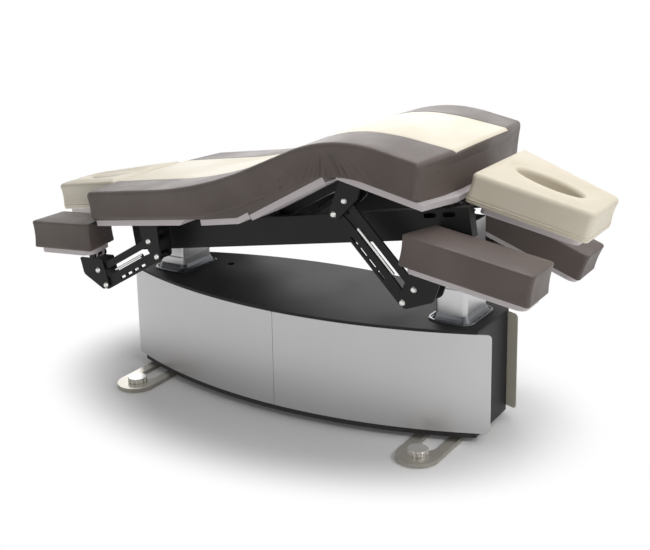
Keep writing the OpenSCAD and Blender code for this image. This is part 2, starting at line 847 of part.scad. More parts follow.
// Rails of the middle section: bored at the beam pins, pinned at the knee, with the actuator's lugs
module mid_frame() {
    color("black") on_mid() {
        both_sides() {
            difference() {
                union() {
                    box([mid_reach, rail_outer - rail_inner, 2 * rail_half],
                        [mid_reach / 2, (rail_outer + rail_inner) / 2, 0]);
                    for (x = [0, mid_reach]) pin_y([x, 0], rail_half, rail_inner, rail_outer);
                }
                pin_y([0, 0], pin_r + run_gap, rail_inner - over, rail_outer + over);
            }
            pin_y([mid_reach, 0], pin_r, back_rail_inner - ear_gap, rail_inner + over);
            pin_y(push_pin, push_eye_r, push_lug_y, push_lug_y + actuator_lug);
            box([2 * push_eye_r, actuator_lug, -push_pin.y],
                [push_pin.x, push_lug_y + actuator_lug / 2, push_pin.y / 2]);
        }
        box([3 * bar_size / 2, 2 * rail_inner + over, 2 * rail_half], [push_pin.x, 0, 0]);
        pin_y(push_pin, motor_pin_r, -push_lug_y - over, push_lug_y + over);
        box([bar_size, 2 * rail_inner + over, 2 * rail_half], [mid_plate_end - bar_size, 0, 0]);
    }
}

push_lug_y = rod_r + ear_gap / 2;

// Rails of the back section, with the knee bores, the glides, the end bar and the hangers
module back_frame() {
    mid_y = (rail_inner + back_rail_inner) / 2 - ear_gap / 2;
    wide = rail_inner - back_rail_inner - ear_gap;
    end_x = face_hinge.x - rest_eye_r - bar_size / 2;
    hang_x = (head_ear.x + head_ear.y) / 2 + bar_size / 4;
    top = plate_rise - plate_thick;
    low = beam_top - mid_pivot.y + glide_slack;
    color("black") on_back() {
        both_sides() {
            difference() {
                union() {
                    box([end_x, wide, 2 * rail_half], [end_x / 2, mid_y, 0]);
                    pin_y([0, 0], rail_half, mid_y - wide / 2, mid_y + wide / 2);
                }
                pin_y([0, 0], pin_r + run_gap, back_rail_inner - 2 * ear_gap, rail_inner);
            }
            pin_y([back_reach, 0], pin_r, mid_y, glide_outer - over);
            pin_y([back_reach, 0], glide_r, glide_outer - glide_width, glide_outer);
            rest_lugs(face_hinge, end_x);
            translate([head_root.x, 0, head_root.y]) hanger(head_ear, top - head_root.y);
        }
        box([bar_size, 2 * mid_y + wide, 2 * rail_half], [end_x, 0, 0]);
        box([outrigger, 2 * ear_outer - ear_plate, top - low], [hang_x, 0, (top + low) / 2]);
    }
}

// Actuator: motor block and outer tube on the fork pin, and the push rod to the middle section
motor_to_push = knee_side(push_pin) - motor_pin;
push_length = norm(motor_to_push);
push_angle = atan2(motor_to_push.y, motor_to_push.x);

function knee_side(p) = mid_pivot + [
    p.x * cos(mid_slope) - p.y * sin(mid_slope), p.x * sin(mid_slope) + p.y * cos(mid_slope)
];

module on_actuator()
    on_deck() translate([motor_pin.x, 0, motor_pin.y]) rotate([0, -push_angle, 0]) children();

module along_x(x, r, h) translate([x, 0, 0]) rotate([0, 90, 0]) cylinder(r = r, h = h);

module actuator_body() {
    color("dimgray") on_actuator() difference() {
        union() {
            pin_y([0, 0], push_eye_r, -motor_size.y / 2, motor_size.y / 2);
            box(motor_size, [motor_size.x / 2, 0, 0]);
            along_x(motor_size.x - over, tube_r, tube_length - motor_size.x);
        }
        pin_y([0, 0], motor_pin_r + run_gap, -motor_size.y, motor_size.y);
        along_x(motor_size.x / 2, rod_r + run_gap, tube_length);
    }
}

module actuator_rod() {
    start = motor_size.x / 2 + lug_r * 2;
    eye_half = push_lug_y - ear_gap / 2;
    color("silver") on_actuator() difference() {
        union() {
            along_x(start, rod_r, push_length - start);
            pin_y([push_length, 0], push_eye_r, -eye_half, eye_half);
        }
        pin_y([push_length, 0], motor_pin_r + push_slack, -2 * rod_r, 2 * rod_r);
    }
}

// Height of a bent line at a place along the deck: each bend is a parabola between two slopes
function slope(line, i) = (line[i + 1].y - line[i].y) / (line[i + 1].x - line[i].x);
function bend(u, at, half, change) =
    u < at - half ? 0 : u > at + half ? change * (u - at) : change * pow(u - at + half, 2) / (4 * half);
function line_w(line, u) = line[0].y + slope(line, 0) * (u - line[0].x)
    + bend(u, line[1].x, line[1][2], slope(line, 1) - slope(line, 0))
    + bend(u, line[2].x, line[2][2], slope(line, 2) - slope(line, 1));

// Upper faces of the plates under the mattress, in the deck plane
function leg_plate_w(u) = leg_hinge.y + leg_top / cos(leg_slope) - (u - leg_hinge.x) * tan(leg_slope);
function mid_plate_w(u) = mid_pivot.y + plate_rise / cos(mid_slope) + (u - mid_pivot.x) * tan(mid_slope);
function back_plate_w(u) = knee.y + plate_rise / cos(back_slope) - (u - knee.x) * tan(back_slope);
function support_w(u) = u < seat_start ? leg_plate_w(u)
    : u < seat_end ? max(seat_top, seat_top + (u - seat_bend) * tan(mid_slope))
    : u < knee.x ? mid_plate_w(u) : back_plate_w(u);
function under_w(u) = max(line_w(edge_line, u) - board_depth, support_w(u) + seat_gap);

// Height of the underside above a ring's low point, along the direction in which the ring stands
function sink_at(low, up, n = 3) = n == 0 ? 0
    : (under_w(low.x + up.x * sink_at(low, up, n - 1)) - low.y) / up.y;

// Share of the way from the stripe to the mattress's side
function point_share(y) = max(0, (y - stripe_reach) / (mattress_reach - stripe_reach));

// Where a leaning face through a pivot meets a bent line, found by repeated substitution
function face_hit(pivot, lean, line, u, n = 6) = n == 0 ? u
    : face_hit(pivot, lean, line, pivot.x + (line_w(line, u) - pivot.y) * tan(lean), n - 1);
function face(pivot, lean, shift) = [
    face_hit(pivot, lean, edge_line, pivot.x) + shift, face_hit(pivot, lean, top_line, pivot.x) + shift
];

// Ring of the mattress where its edge is at along[0] and its top at along[1]
function mattress_ring(along, drop, point) =
    let (
        low = [along[0], line_w(edge_line, along[0])],
        top = [along[1], line_w(top_line, along[1])],
        up = unit(top - low),
        h = norm(top - low) - drop,
        board = plate_reach + seat_gap,
        ease = edge_r * ease_share,
        half = [
            [0, sink_at(low + [point, 0], up)],
            [board, sink_at(low + [point * (1 - point_share(board)), 0], up)],
            [board + tuck, 0], [mattress_reach - tuck, 0], [mattress_reach, tuck],
            [mattress_reach - draw_in, h / 2], [mattress_reach, h - edge_r],
            [mattress_reach - ease, h - ease], [mattress_reach - edge_r, h],
            [stripe_reach + groove, h + crown / 2], [stripe_reach, h + crown / 2 - groove],
            [stripe_reach - groove, h + crown / 2], [0, h + crown]
        ],
        whole = concat(half, [for (i = [len(half) - 2 : -1 : 1]) [-half[i].x, half[i].y]])
    )
    [for (p = whole)
        [low.x + up.x * p.y + point * (1 - point_share(abs(p.x))), p.x, low.y + up.y * p.y]];

// Stations run from one face to the other, with a rounded, pointed end where end is -1 or 1
module mattress_piece(from, to, count, end = 0) {
    long = to[1] - from[1];
    tip = edge_r / long;
    near_tip = tip * ease_share;
    inner = [for (i = [1 : count - 1]) i / count];
    shares = end < 0 ? concat([0, near_tip, tip], inner, [1])
        : end > 0 ? concat([0], inner, [1 - tip, 1 - near_tip, 1]) : concat([0], inner, [1]);
    loft([
        for (s = shares)
            let (
                away = end < 0 ? s * long : (1 - s) * long,
                drop = end == 0 || away > 2 * near_tip * long ? 0 : away > 0 ? edge_r * ease_share : edge_r
            )
            mattress_ring(from + (to - from) * s, drop, end * end_point * max(0, 1 - away / fade_length))
    ]);
}

leg_face = face(leg_hinge, -fold_angle, -seat_gap);
seat_face = face(leg_hinge, fold_angle, seat_gap);
valley = face(mid_pivot, valley_lean, 0);
crest_in = face(knee, -mid_slope - crest_clear, 0);
crest_out = face(knee, back_slope + crest_clear, 0);
shift_by = [seat_gap, seat_gap];

module leg_cushion() color("tan") on_deck() mattress_piece(leg_end_up, leg_face, 5, -1);

module seat_cushion() color("tan") on_deck() mattress_piece(seat_face, valley - shift_by / 2, 5);

module mid_cushion() color("tan") on_deck() mattress_piece(valley + shift_by / 2, crest_in, 7);

module mattress_crest() color("tan") on_deck() mattress_piece(crest_in + shift_by, crest_out - shift_by, 4);

module back_cushion() color("tan") on_deck() mattress_piece(crest_out, head_end_up, 6, 1);

// Directions of a hole's points, one for each point of the outline round it
function hole_turns(corners, hole) = [
    for (p = along_sides(rounded(corners), side_parts))
        atan2((p.y - hole[1]) / hole[3], (p.x - hole[0]) / hole[2])
];

// Cushion on a convex outline: tucked below, drawn in at mid height, rounded above and crowned
module cushion(corners, low, height, hole = []) {
    ease = edge_r * ease_share;
    rim_ease = hole_round * ease_share;
    levels = [
        [tuck, 0], [0, tuck], [draw_in, height / 2], [0, height - edge_r], [ease, height - ease],
        [edge_r, height], [3 * edge_r, height + crown / 2]
    ];
    parts = hole == [] ? 1 : side_parts;
    outer = [for (l = levels) lift(along_sides(rounded(inset(corners, l.x)), parts), low + l.y)];
    inner = hole == [] ? [] : [
        for (l = [
            [hole_round, height + crown / 2], [rim_ease, height - rim_ease + crown / 2],
            [0, height - hole_round], [0, 0]
        ])
            [for (turn = hole_turns(corners, hole))
                [hole[0] + (hole[2] + l.x) * cos(turn), hole[1] + (hole[3] + l.x) * sin(turn), low + l.y]]
    ];
    loft(concat(outer, inner), hole != []);
}

// Trapezoid of an end cushion, with its wide side at the table
function rest_corners(start, end, shrink) = [
    [start, -face_width / 2 + shrink, end_corner / 2],
    [end, -face_tip_width / 2 + shrink / 2, end_corner],
    [end, face_tip_width / 2 - shrink / 2, end_corner],
    [start, face_width / 2 - shrink, end_corner / 2]
];
function rest_hole(base) = [base.x + face_length * hole_centre_share, 0, hole_half_length, hole_half_width];

module rest_cushion(base)
    cushion(rest_corners(base.x, base.x + face_length, 0), base.y + seat_gap, face_height, rest_hole(base));

module rest_plate(base)
    translate([0, 0, base.y - plate_thick]) linear_extrude(plate_thick)
        polygon(rounded(rest_corners(base.x + rest_plate_start, base.x + face_length - rest_plate_end,
            plate_thick)));

// Fork under an end cushion: two arms under the plate, the pin and its knuckles
module rest_bracket(base) {
    top = base.y - plate_thick;
    y = rest_lug_place + rest_lug + ear_gap;
    both_sides() {
        pin_y([0, 0], rest_eye_r, y, y + rest_arm_width);
        pin_y([0, 0], rest_pin_r, 0, y + over);
        box([rest_arm_length, rest_arm_width, rest_lug],
            [rest_arm_length / 2, y + rest_arm_width / 2, top - rest_lug / 2]);
        pin_y([0, 0], rest_eye_r, 0, rest_lug_place - ear_gap);
    }
}

module face_cushion() color("tan") on_face() rest_cushion(face_base);

module face_plate() {
    hole = rest_hole(face_base);
    color("gainsboro") on_face() difference() {
        rest_plate(face_base);
        translate([hole[0], 0, face_base.y - plate_thick - over]) scale([hole[2] / hole[3], 1, 1])
            cylinder(r = hole[3] + over, h = plate_thick + 2 * over);
    }
}

module face_bracket() color("black") on_face() rest_bracket(face_base);

module foot_rest_cushion() color("tan") on_foot_rest() rest_cushion(foot_base);

module foot_rest_plate() color("gainsboro") on_foot_rest() rest_plate(foot_base);

module foot_rest_bracket() color("black") on_foot_rest() rest_bracket(foot_base);

// Oval plug that fills the foot cushion's hole
module foot_rest_plug() {
    hole = rest_hole(foot_base);
    ease = hole_round * ease_share;
    steps = [
        [0, 0], [0, face_height - hole_round], [-ease, face_height - ease],
        [-hole_round, face_height + plug_proud / 2], [-2 * hole_round, face_height + plug_proud]
    ];
    color("tan") on_foot_rest() loft([
        for (s = steps) [
            for (turn = hole_turns(rest_corners(foot_base.x, foot_base.x + face_length, 0), hole))
                [hole[0] + (hole[2] - plug_gap + s.x) * cos(turn), (hole[3] - plug_gap + s.x) * sin(turn),
                    foot_base.y + seat_gap + s.y]
        ]
    ]);
}

// Arm mechanism frames: X points away from the table's middle, Y away from the centre line
module on_arm(head, near) {
    side = near ? 1 : 0;
    if (head)
        on_back() translate([head_root.x, 0, head_root.y]) mirror([0, side, 0]) children();
    else
        on_leg() translate([foot_root.x, 0, foot_root.y]) mirror([1, 0, 0]) mirror([0, side, 0]) children();
}

function drop_of(head, near) = head ? (near ? head_link_angle : far_head_link_angle) : foot_link_angle;
function link_of(head) = head ? head_link : foot_link;

module link_bores(long) {
    for (x = [0, long])
        pin_y([x, 0], arm_pin_r + run_gap, link_outer - 2 * link_thick, link_outer + over);
}

// Wide link with a lock rod along its upper edge and plain slots
module main_link(head, near) {
    long = link_of(head);
    half = main_width / 2;
    rod = long * lock_rod_share;
    color("black") on_arm(head, near) rotate([0, drop_of(head, near), 0]) {
        difference() {
            plate_xz(link_outer - link_thick, link_outer) difference() {
                polygon(rounded([
                    [-link_end_r, -link_end_r, link_end_r - over],
                    [long + link_end_r, -link_end_r, link_end_r - over],
                    [long + link_end_r, link_end_r, link_end_r - over], [long - 2 * half, half, half],
                    [2 * half, half, half], [-link_end_r, link_end_r, link_end_r - over]
                ]));
                for (share = link_slot_shares)
                    translate([long * share, -half / 8])
                        square([long * slot_long_share, half / 3], center = true);
            }
            link_bores(long);
        }
        for (x = [-1, 1])
            box([2 * lock_rod_r, link_thick, lock_rod_up],
                [long / 2 + x * rod / 2, link_outer - link_thick / 2, lock_rod_up / 2]);
        translate([(long - rod) / 2, link_outer - link_thick / 2, lock_rod_up]) rotate([0, 90, 0])
            cylinder(r = lock_rod_r, h = rod);
    }
}

// Narrow link above the wide one
module side_link(head, near) {
    long = link_of(head);
    half = side_width / 2;
    color("black") on_arm(head, near) translate([pivot_step.x, 0, pivot_step.y])
        rotate([0, drop_of(head, near), 0]) difference() {
            plate_xz(link_outer - link_thick, link_outer) {
                translate([0, -half]) square([long, side_width]);
                for (x = [0, long]) translate([x, 0]) circle(r = half);
            }
            link_bores(long);
        }
}

module at_bracket(head, near) {
    drop = drop_of(head, near);
    on_arm(head, near) translate(link_of(head) * [cos(drop), 0, -sin(drop)]) children();
}

// Clevis at the lower ends of the links, with the tilt pin of the armrest
module arm_bracket(head, near) {
    color("black") at_bracket(head, near) {
        for (y = [ear_inner, ear_outer - ear_plate]) plate_xz(y, y + ear_plate) {
            polygon(rounded([
                [link_end_r - 2 * over, -link_end_r + over, link_end_r - 2 * over],
                [tilt_pin.x + bracket_low.x, bracket_low.y, bracket_corners[0]],
                [tilt_pin.x + bracket_top.x, tilt_pin.y - bracket_top.y / 2, bracket_corners[1]],
                [0, tilt_pin.y - bracket_top.y, bracket_corners[2]],
                [-link_end_r - over, -link_end_r / 3, link_end_r - 2 * over]
            ]));
            translate(tilt_pin) circle(r = tilt_eye_r);
        }
        clevis_pins([[0, 0], pivot_step]);
        pin_y(tilt_pin, arm_pin_r, ear_inner + over, ear_outer - over);
    }
}

module on_pad(head, near) {
    droop = (head && !near ? far_pad_droop : 0) - pad_rise_angle;
    at_bracket(head, near) translate([tilt_pin.x, 0, tilt_pin.y]) rotate([0, droop, 0])
        translate([pad_place.x - tilt_pin.x, 0, pad_place.y - tilt_pin.y]) children();
}

function pad_corners(head, shrink, corner) =
    let (long = head ? head_pad_length : foot_pad_length)
    [
        [shrink, pad_outer - shrink, corner], [pad_slant + shrink, pad_inner + shrink, corner],
        [long - shrink, pad_inner + shrink, corner], [long - shrink, pad_outer - shrink, corner]
    ];

// Plate under an armrest cushion, with the two knuckles on the tilt pin
module arm_plate(head, near) {
    hinge = tilt_pin - pad_place;
    color("gainsboro") on_pad(head, near) {
        translate([0, 0, -plate_thick]) linear_extrude(plate_thick)
            polygon(rounded(pad_corners(head, arm_plate_inset, arm_plate_corner)));
        for (y = [ear_inner + ear_plate + ear_gap, ear_outer - ear_plate - ear_gap - link_thick])
            difference() {
                union() {
                    pin_y(hinge, tilt_eye_r - over, y, y + link_thick);
                    box([2 * (tilt_eye_r - over), link_thick, -hinge.y - plate_thick / 2],
                        [hinge.x, y + link_thick / 2, (hinge.y - plate_thick / 2) / 2]);
                }
                pin_y(hinge, arm_pin_r + run_gap, y - over, y + link_thick + over);
            }
    }
}

module arm_cushion(head, near) {
    color("gray") on_pad(head, near) cushion(pad_corners(head, 0, pad_corner), seat_gap, pad_height);
}

module near_head_main_link() main_link(true, true);

module near_head_side_link() side_link(true, true);

module near_head_bracket() arm_bracket(true, true);

module near_head_arm_plate() arm_plate(true, true);

module near_head_arm_cushion() arm_cushion(true, true);

module far_head_main_link() main_link(true, false);

module far_head_side_link() side_link(true, false);

module far_head_bracket() arm_bracket(true, false);

module far_head_arm_plate() arm_plate(true, false);

module far_head_arm_cushion() arm_cushion(true, false);

module near_foot_main_link() main_link(false, true);

module near_foot_side_link() side_link(false, true);

module near_foot_bracket() arm_bracket(false, true);

module near_foot_arm_plate() arm_plate(false, true);

module near_foot_arm_cushion() arm_cushion(false, true);

module far_foot_main_link() main_link(false, false);

module far_foot_side_link() side_link(false, false);

module far_foot_bracket() arm_bracket(false, false);

module far_foot_arm_plate() arm_plate(false, false);

module far_foot_arm_cushion() arm_cushion(false, false);

base_housing();
base_top();
side_panels();
floor_bar_foot();
floor_bar_head();
levelling_knob_1();
levelling_knob_2();
levelling_knob_3();
levelling_knob_4();
foot_column_sleeve();
head_column_sleeve();
power_unit();
foot_column_stage();
head_column_stage();
side_beam_near();
side_beam_far();
cross_foot();
cross_mid();
cross_head();
seat_plate();
seat_cushion();
leg_plate();
leg_cushion();
leg_frame();
foot_rest_bracket();
foot_rest_plate();
foot_rest_cushion();
foot_rest_plug();
mid_plate();
mid_cushion();
mid_frame();
mattress_crest();
back_plate();
back_cushion();
back_frame();
face_bracket();
face_plate();
face_cushion();
actuator_body();
actuator_rod();
near_head_main_link();
near_head_side_link();
near_head_bracket();
near_head_arm_plate();
near_head_arm_cushion();
far_head_main_link();
far_head_side_link();
far_head_bracket();
far_head_arm_plate();
far_head_arm_cushion();
near_foot_main_link();
near_foot_side_link();
near_foot_bracket();
near_foot_arm_plate();
near_foot_arm_cushion();
far_foot_main_link();
far_foot_side_link();
far_foot_bracket();
far_foot_arm_plate();
far_foot_arm_cushion();
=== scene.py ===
# %% [markdown]
# # A powered massage table, dressed for its photograph
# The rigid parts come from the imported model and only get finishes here. The upholstery is made
# anew, because foam under synthetic leather has crowns, rolled edges and creases that flat solids
# lack.

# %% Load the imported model
import math
from collections import namedtuple

import bmesh
import bpy
import numpy as np
from mathutils import Matrix, Vector


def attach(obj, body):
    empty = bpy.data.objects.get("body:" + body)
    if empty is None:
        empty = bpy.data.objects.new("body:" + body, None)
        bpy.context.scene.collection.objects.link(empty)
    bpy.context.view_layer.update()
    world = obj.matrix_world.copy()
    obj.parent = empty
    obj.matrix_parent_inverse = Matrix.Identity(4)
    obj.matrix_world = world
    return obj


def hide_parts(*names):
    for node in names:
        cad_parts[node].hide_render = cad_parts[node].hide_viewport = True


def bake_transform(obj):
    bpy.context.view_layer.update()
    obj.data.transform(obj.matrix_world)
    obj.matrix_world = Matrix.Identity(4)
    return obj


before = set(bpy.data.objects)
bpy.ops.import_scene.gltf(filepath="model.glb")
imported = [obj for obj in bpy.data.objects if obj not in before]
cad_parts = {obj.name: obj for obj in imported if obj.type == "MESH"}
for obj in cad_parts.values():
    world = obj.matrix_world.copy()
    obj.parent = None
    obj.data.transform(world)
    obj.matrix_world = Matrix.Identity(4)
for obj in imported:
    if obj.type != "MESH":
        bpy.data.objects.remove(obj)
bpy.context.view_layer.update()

# %% [markdown]
# ## The moving frames
# Each section of the table has its own flat frame: a hinge place and a slope about the Y axis.
# Parented empties could carry the pieces, but matrices leave nothing in the scene: every later
# piece is made flat and simple, then laid where its section is.

# %% Frames as 4 by 4 matrices
def move(x, z):
    """Shift along X and Z, in metres."""
    return np.array(Matrix.Translation((x, 0, z)))


def turn(degrees):
    """Turn about Y: a positive angle lowers the +X end."""
    return np.array(Matrix.Rotation(math.radians(degrees), 4, "Y"))


MIDDLE_X, DECK_HEIGHT, DECK_SLOPE = 0.025, 0.740, 9.7
LEG_SLOPE, MID_SLOPE, BACK_SLOPE = 1.9, 19.5, 22.3
FACE_SLOPE, FOOT_REST_SLOPE = 4.2, 3.1
LEG_HINGE, MID_HINGE, BACK_HINGE = (-0.235, -0.010), (-0.0164, -0.034), (0.390, 0)
FACE_HINGE, FOOT_REST_HINGE = (0.367, -0.009), (-0.496, -0.0095)
FLIP = np.diag([-1.0, 1, 1, 1])
DECK = move(MIDDLE_X, DECK_HEIGHT) @ turn(-DECK_SLOPE)
LEG = DECK @ move(*LEG_HINGE) @ turn(LEG_SLOPE)
MID = DECK @ move(*MID_HINGE) @ turn(-MID_SLOPE)
BACK = MID @ move(*BACK_HINGE) @ turn(MID_SLOPE + BACK_SLOPE)
FACE = BACK @ move(*FACE_HINGE) @ turn(FACE_SLOPE)
FOOT_REST = LEG @ move(*FOOT_REST_HINGE) @ FLIP @ turn(FOOT_REST_SLOPE)
for name, matrix in (("leg", LEG), ("middle", MID), ("back", BACK)):
    print(name, "hinge at", np.round(matrix[:3, 3], 3))


def laid(points, matrix):
    """Points of a flat frame, turned and shifted into the table's frame."""
    points = np.asarray(points, float)
    return points @ matrix[:3, :3].T + matrix[:3, 3]


# %% [markdown]
# ## The camera
# The camera comes early, so that everything can be judged in the photograph's own view. It stands
# at the head end's near corner, a little above the mattress, with a small lens shift as product
# cameras use.

# %% Camera
def unit(v):
    """The same direction, one long."""
    return v / np.linalg.norm(v)


def add(name, data):
    """A new object in the scene, at the origin and unturned."""
    obj = bpy.data.objects.new(name, data)
    bpy.context.scene.collection.objects.link(obj)
    return obj


FOCAL_PX, PICTURE_PX, SENSOR = 1109.5, 650, 36
EYE = np.array([2.0760 + MIDDLE_X, -3.2258, 1.6874])
azimuth, elevation, roll = (math.radians(angle) for angle in (31.155, 13.098, -0.78))
backward = np.array([math.sin(azimuth) * math.cos(elevation),
                     -math.cos(azimuth) * math.cos(elevation), math.sin(elevation)])
right = unit(np.cross(-backward, [0, 0, 1]))
up = np.cross(right, -backward)
right, up = (right * math.cos(roll) + up * math.sin(roll),
             up * math.cos(roll) - right * math.sin(roll))
lens = bpy.data.cameras.new("photo_camera")
lens.sensor_width = SENSOR
lens.lens = FOCAL_PX * SENSOR / PICTURE_PX
lens.shift_x, lens.shift_y = -0.026, -0.15
lens.clip_start, lens.clip_end = 0.05, 60
camera = add("photo_camera", lens)
pose = np.eye(4)
pose[:3, 0], pose[:3, 1], pose[:3, 2], pose[:3, 3] = right, up, backward, EYE
camera.matrix_world = Matrix(pose.tolist())
bpy.context.scene.camera = camera
print("lens", round(lens.lens, 1), "mm on a", SENSOR, "mm sensor")

# %% [markdown]
# ## Shader maths as plain expressions
# A node tree is easier to read as a formula. This small class wraps one socket, so that sums,
# products and powers of it add the right Math nodes by themselves.

# %% Sockets that can be added and multiplied
class Value:
    """One socket of a shader tree, with arithmetic that makes Math nodes."""

    def __init__(self, tree, socket):
        self.tree, self.socket = tree, socket

    def math(self, operation, *others):
        """A Math node whose first value is this socket."""
        return self.tree.node("ShaderNodeMath", [self, *others], operation=operation)

    def after(self, first, operation):
        """The reflected form: the other value comes first."""
        return self.tree.node("ShaderNodeMath", [first, self], operation=operation)

    def __add__(self, other):
        return self.math("ADD", other)

    def __sub__(self, other):
        return self.math("SUBTRACT", other)

    def __rsub__(self, other):
        return self.after(other, "SUBTRACT")

    def __mul__(self, other):
        return self.math("MULTIPLY", other)

    def __truediv__(self, other):
        return self.math("DIVIDE", other)

    def __rtruediv__(self, other):
        return self.after(other, "DIVIDE")

    def __pow__(self, other):
        return self.math("POWER", other)

    def __rpow__(self, other):
        return self.after(other, "POWER")

    __radd__, __rmul__ = __add__, __mul__

    def step(self, low, high):
        """0 below low, 1 above high, smooth between."""
        return self.tree.node("ShaderNodeMapRange",
                              {"Value": self, "From Min": low, "From Max": high},
                              interpolation_type="SMOOTHSTEP")


# %% One tree for each material, and one for the world
class Tree:
    """A new material or world, its main shader, and one method that adds any node."""

    def __init__(self, name, kind="materials", shader="Principled BSDF"):
        self.owner = getattr(bpy.data, kind).new(name)
        self.owner.use_nodes = True
        self.nodes, self.links = self.owner.node_tree.nodes, self.owner.node_tree.links
        self.shader = self.nodes[shader]

    def node(self, kind, inputs=(), output=0, **settings):
        """Settings first, then a link or a plain value for each socket named or counted."""
        n = self.nodes.new(kind)
        for key, value in settings.items():
            setattr(n, key, value)
        for key, value in inputs.items() if isinstance(inputs, dict) else enumerate(inputs):
            if isinstance(value, Value):
                self.links.new(value.socket, n.inputs[key])
            else:
                n.inputs[key].default_value = value
        return Value(self, n.outputs[output])

    def place(self):
        """The point's own place, which stays with the piece when it moves."""
        return self.node("ShaderNodeTexCoord", output="Object")

    def part(self, axis):
        """One coordinate of that place."""
        return self.node("ShaderNodeSeparateXYZ", [self.place()], output=axis)

    def noise(self, scale, detail=3, stretch=(1, 1, 1)):
        """Cloudy noise; a small stretch along one axis draws it out into lines."""
        at = self.node("ShaderNodeMapping", {"Vector": self.place(), "Scale": stretch})
        return self.node("ShaderNodeTexNoise", {"Vector": at, "Scale": scale, "Detail": detail})

    def mix(self, share, first, second):
        """A colour between two, by a share from 0 to 1."""
        first, second = (c if isinstance(c, Value) else (*c, 1) for c in (first, second))
        return self.node("ShaderNodeMix", {0: share, 6: first, 7: second}, output=2,
                         data_type="RGBA")

    def bump(self, height, depth, strength=1.0):
        """Surface relief: depth is the relief's height in metres where the value is 1."""
        return self.node("ShaderNodeBump",
                         {"Height": height, "Distance": depth, "Strength": strength})

    def finish(self, colour=None, rough=None, metal=None, normal=None, **others):
        """Feeds the shader; other sockets are named with _ for each blank, as Sheen_Weight."""
        feeds = {"Base Color": colour, "Roughness": rough, "Metallic": metal, "Normal": normal}
        feeds.update({name.replace("_", " "): value for name, value in others.items()})
        for name, value in feeds.items():
            if isinstance(value, Value):
                self.links.new(value.socket, self.shader.inputs[name])
            elif value is not None:
                plain = (*value, 1) if "Color" in name else value
                self.shader.inputs[name].default_value = plain
        return self.owner


# %% [markdown]
# ## Synthetic leather
# The cover is soft polyurethane leather: a fine pebbled grain a millimetre across, a satin sheen,
# and faint cloudy variation where hands and foam have stretched it. The stripe is the same hide in
# cream, so one recipe serves for both, with a painted attribute saying where the cream panel lies.
# A picture of leather could be wrapped on, but noise on Object coordinates needs no unwrapping and
# shows no seams.

# %% Leather, in one colour or with a cream panel
TAUPE, TAUPE_DARK = (0.116, 0.091, 0.080), (0.092, 0.071, 0.063)
CREAM, CREAM_DARK = (0.745, 0.685, 0.560), (0.710, 0.645, 0.515)


def leather(name, light, dark, panel=None, rough=0.40):
    """Grain from Voronoi cells and noise; panel names the attribute that is 1 on the cream."""
    grain_depth, slack_depth = 0.00022, 0.0016
    t = Tree(name)
    cloud = t.noise(5, 4).step(0.35, 0.68)
    colour = t.mix(cloud, dark, light)
    if panel:
        painted = t.node("ShaderNodeAttribute", output="Fac", attribute_name=panel)
        colour = t.mix(painted.step(0.35, 0.65), colour, t.mix(cloud, CREAM_DARK, CREAM))
    cells = t.node("ShaderNodeTexVoronoi", {"Vector": t.place(), "Scale": 620.0, "Smoothness": 0.4},
                   feature="SMOOTH_F1")
    grain = t.bump(cells * 0.7 + t.noise(240, 4) * 0.6, grain_depth, 0.55)
    slack = t.node("ShaderNodeBump", {"Height": t.noise(17, 3), "Distance": slack_depth,
                                      "Strength": 0.35, "Normal": grain})
    return t.finish(colour, rough + 0.10 * (1 - cloud) + 0.06 * cells, normal=slack,
                    Specular_IOR_Level=0.42, Sheen_Weight=0.04)


HIDE_BOTH = leather("hide_taupe_with_cream", TAUPE, TAUPE_DARK, panel="cream")
HIDE_TAUPE = leather("hide_taupe", TAUPE, TAUPE_DARK)
HIDE_CREAM = leather("hide_cream", CREAM, CREAM_DARK, rough=0.44)
print("hides:", [hide.name for hide in (HIDE_BOTH, HIDE_TAUPE, HIDE_CREAM)])

# %% [markdown]
# ## Coats of paint
# Frames are black powder coat, which has a slight orange peel, and the base's top is a dull dark
# lacquer. The side panels are sprayed silver on the outside only. Their inner faces could get a
# material of their own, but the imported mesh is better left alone, so the material asks how far a
# point is from the axis of the panels' arc.

# %% Painted finishes
def powder_coat():
    """Orange peel in the relief, dust in the colour and the roughness."""
    t = Tree("black_powder_coat")
    peel = t.noise(1500, 2)
    dust = t.noise(9, 5).step(0.45, 0.8)
    colour = t.mix(dust, (0.0070, 0.0070, 0.0074), (0.012, 0.0118, 0.0116))
    return t.finish(colour, 0.42 + 0.10 * dust, normal=t.bump(peel, 0.00006, 0.5),
                    Specular_IOR_Level=0.24)


def base_lacquer():
    """A dull dark coat: haze in the colour, specks in the relief."""
    t = Tree("base_top_lacquer")
    haze = t.noise(4, 5).step(0.35, 0.75)
    specks = t.noise(900, 2)
    colour = t.mix(haze, (0.015, 0.014, 0.014), (0.022, 0.021, 0.020))
    return t.finish(colour, 0.56 + 0.08 * haze, normal=t.bump(specks, 0.00004, 0.4),
                    Specular_IOR_Level=0.24)


LENS_HALF, LENS_RISE, LENS_SIDE = 0.747, 0.158, 0.270
LENS_R = (LENS_HALF ** 2 + LENS_RISE ** 2) / (2 * LENS_RISE)


def sprayed_silver():
    """Silver outside and bare cream board inside: the radius in plan is LENS_R at the skin."""
    t = Tree("sprayed_silver")
    flake = t.noise(2600, 1)
    cloud = t.noise(2.2, 3)
    x, y = t.part("X") - MIDDLE_X, t.part("Y").math("ABSOLUTE") + (LENS_R - LENS_SIDE)
    outer = ((x * x + y * y) ** 0.5).step(LENS_R - 0.0020, LENS_R - 0.0012)
    sprayed = t.mix(cloud, (0.56, 0.555, 0.56), (0.62, 0.615, 0.62))
    return t.finish(t.mix(outer, (0.80, 0.76, 0.64), sprayed),
                    0.30 + 0.08 * flake + 0.2 * (1 - outer), metal=0.5 * outer,
                    normal=t.bump(flake, 0.00003, 0.35))


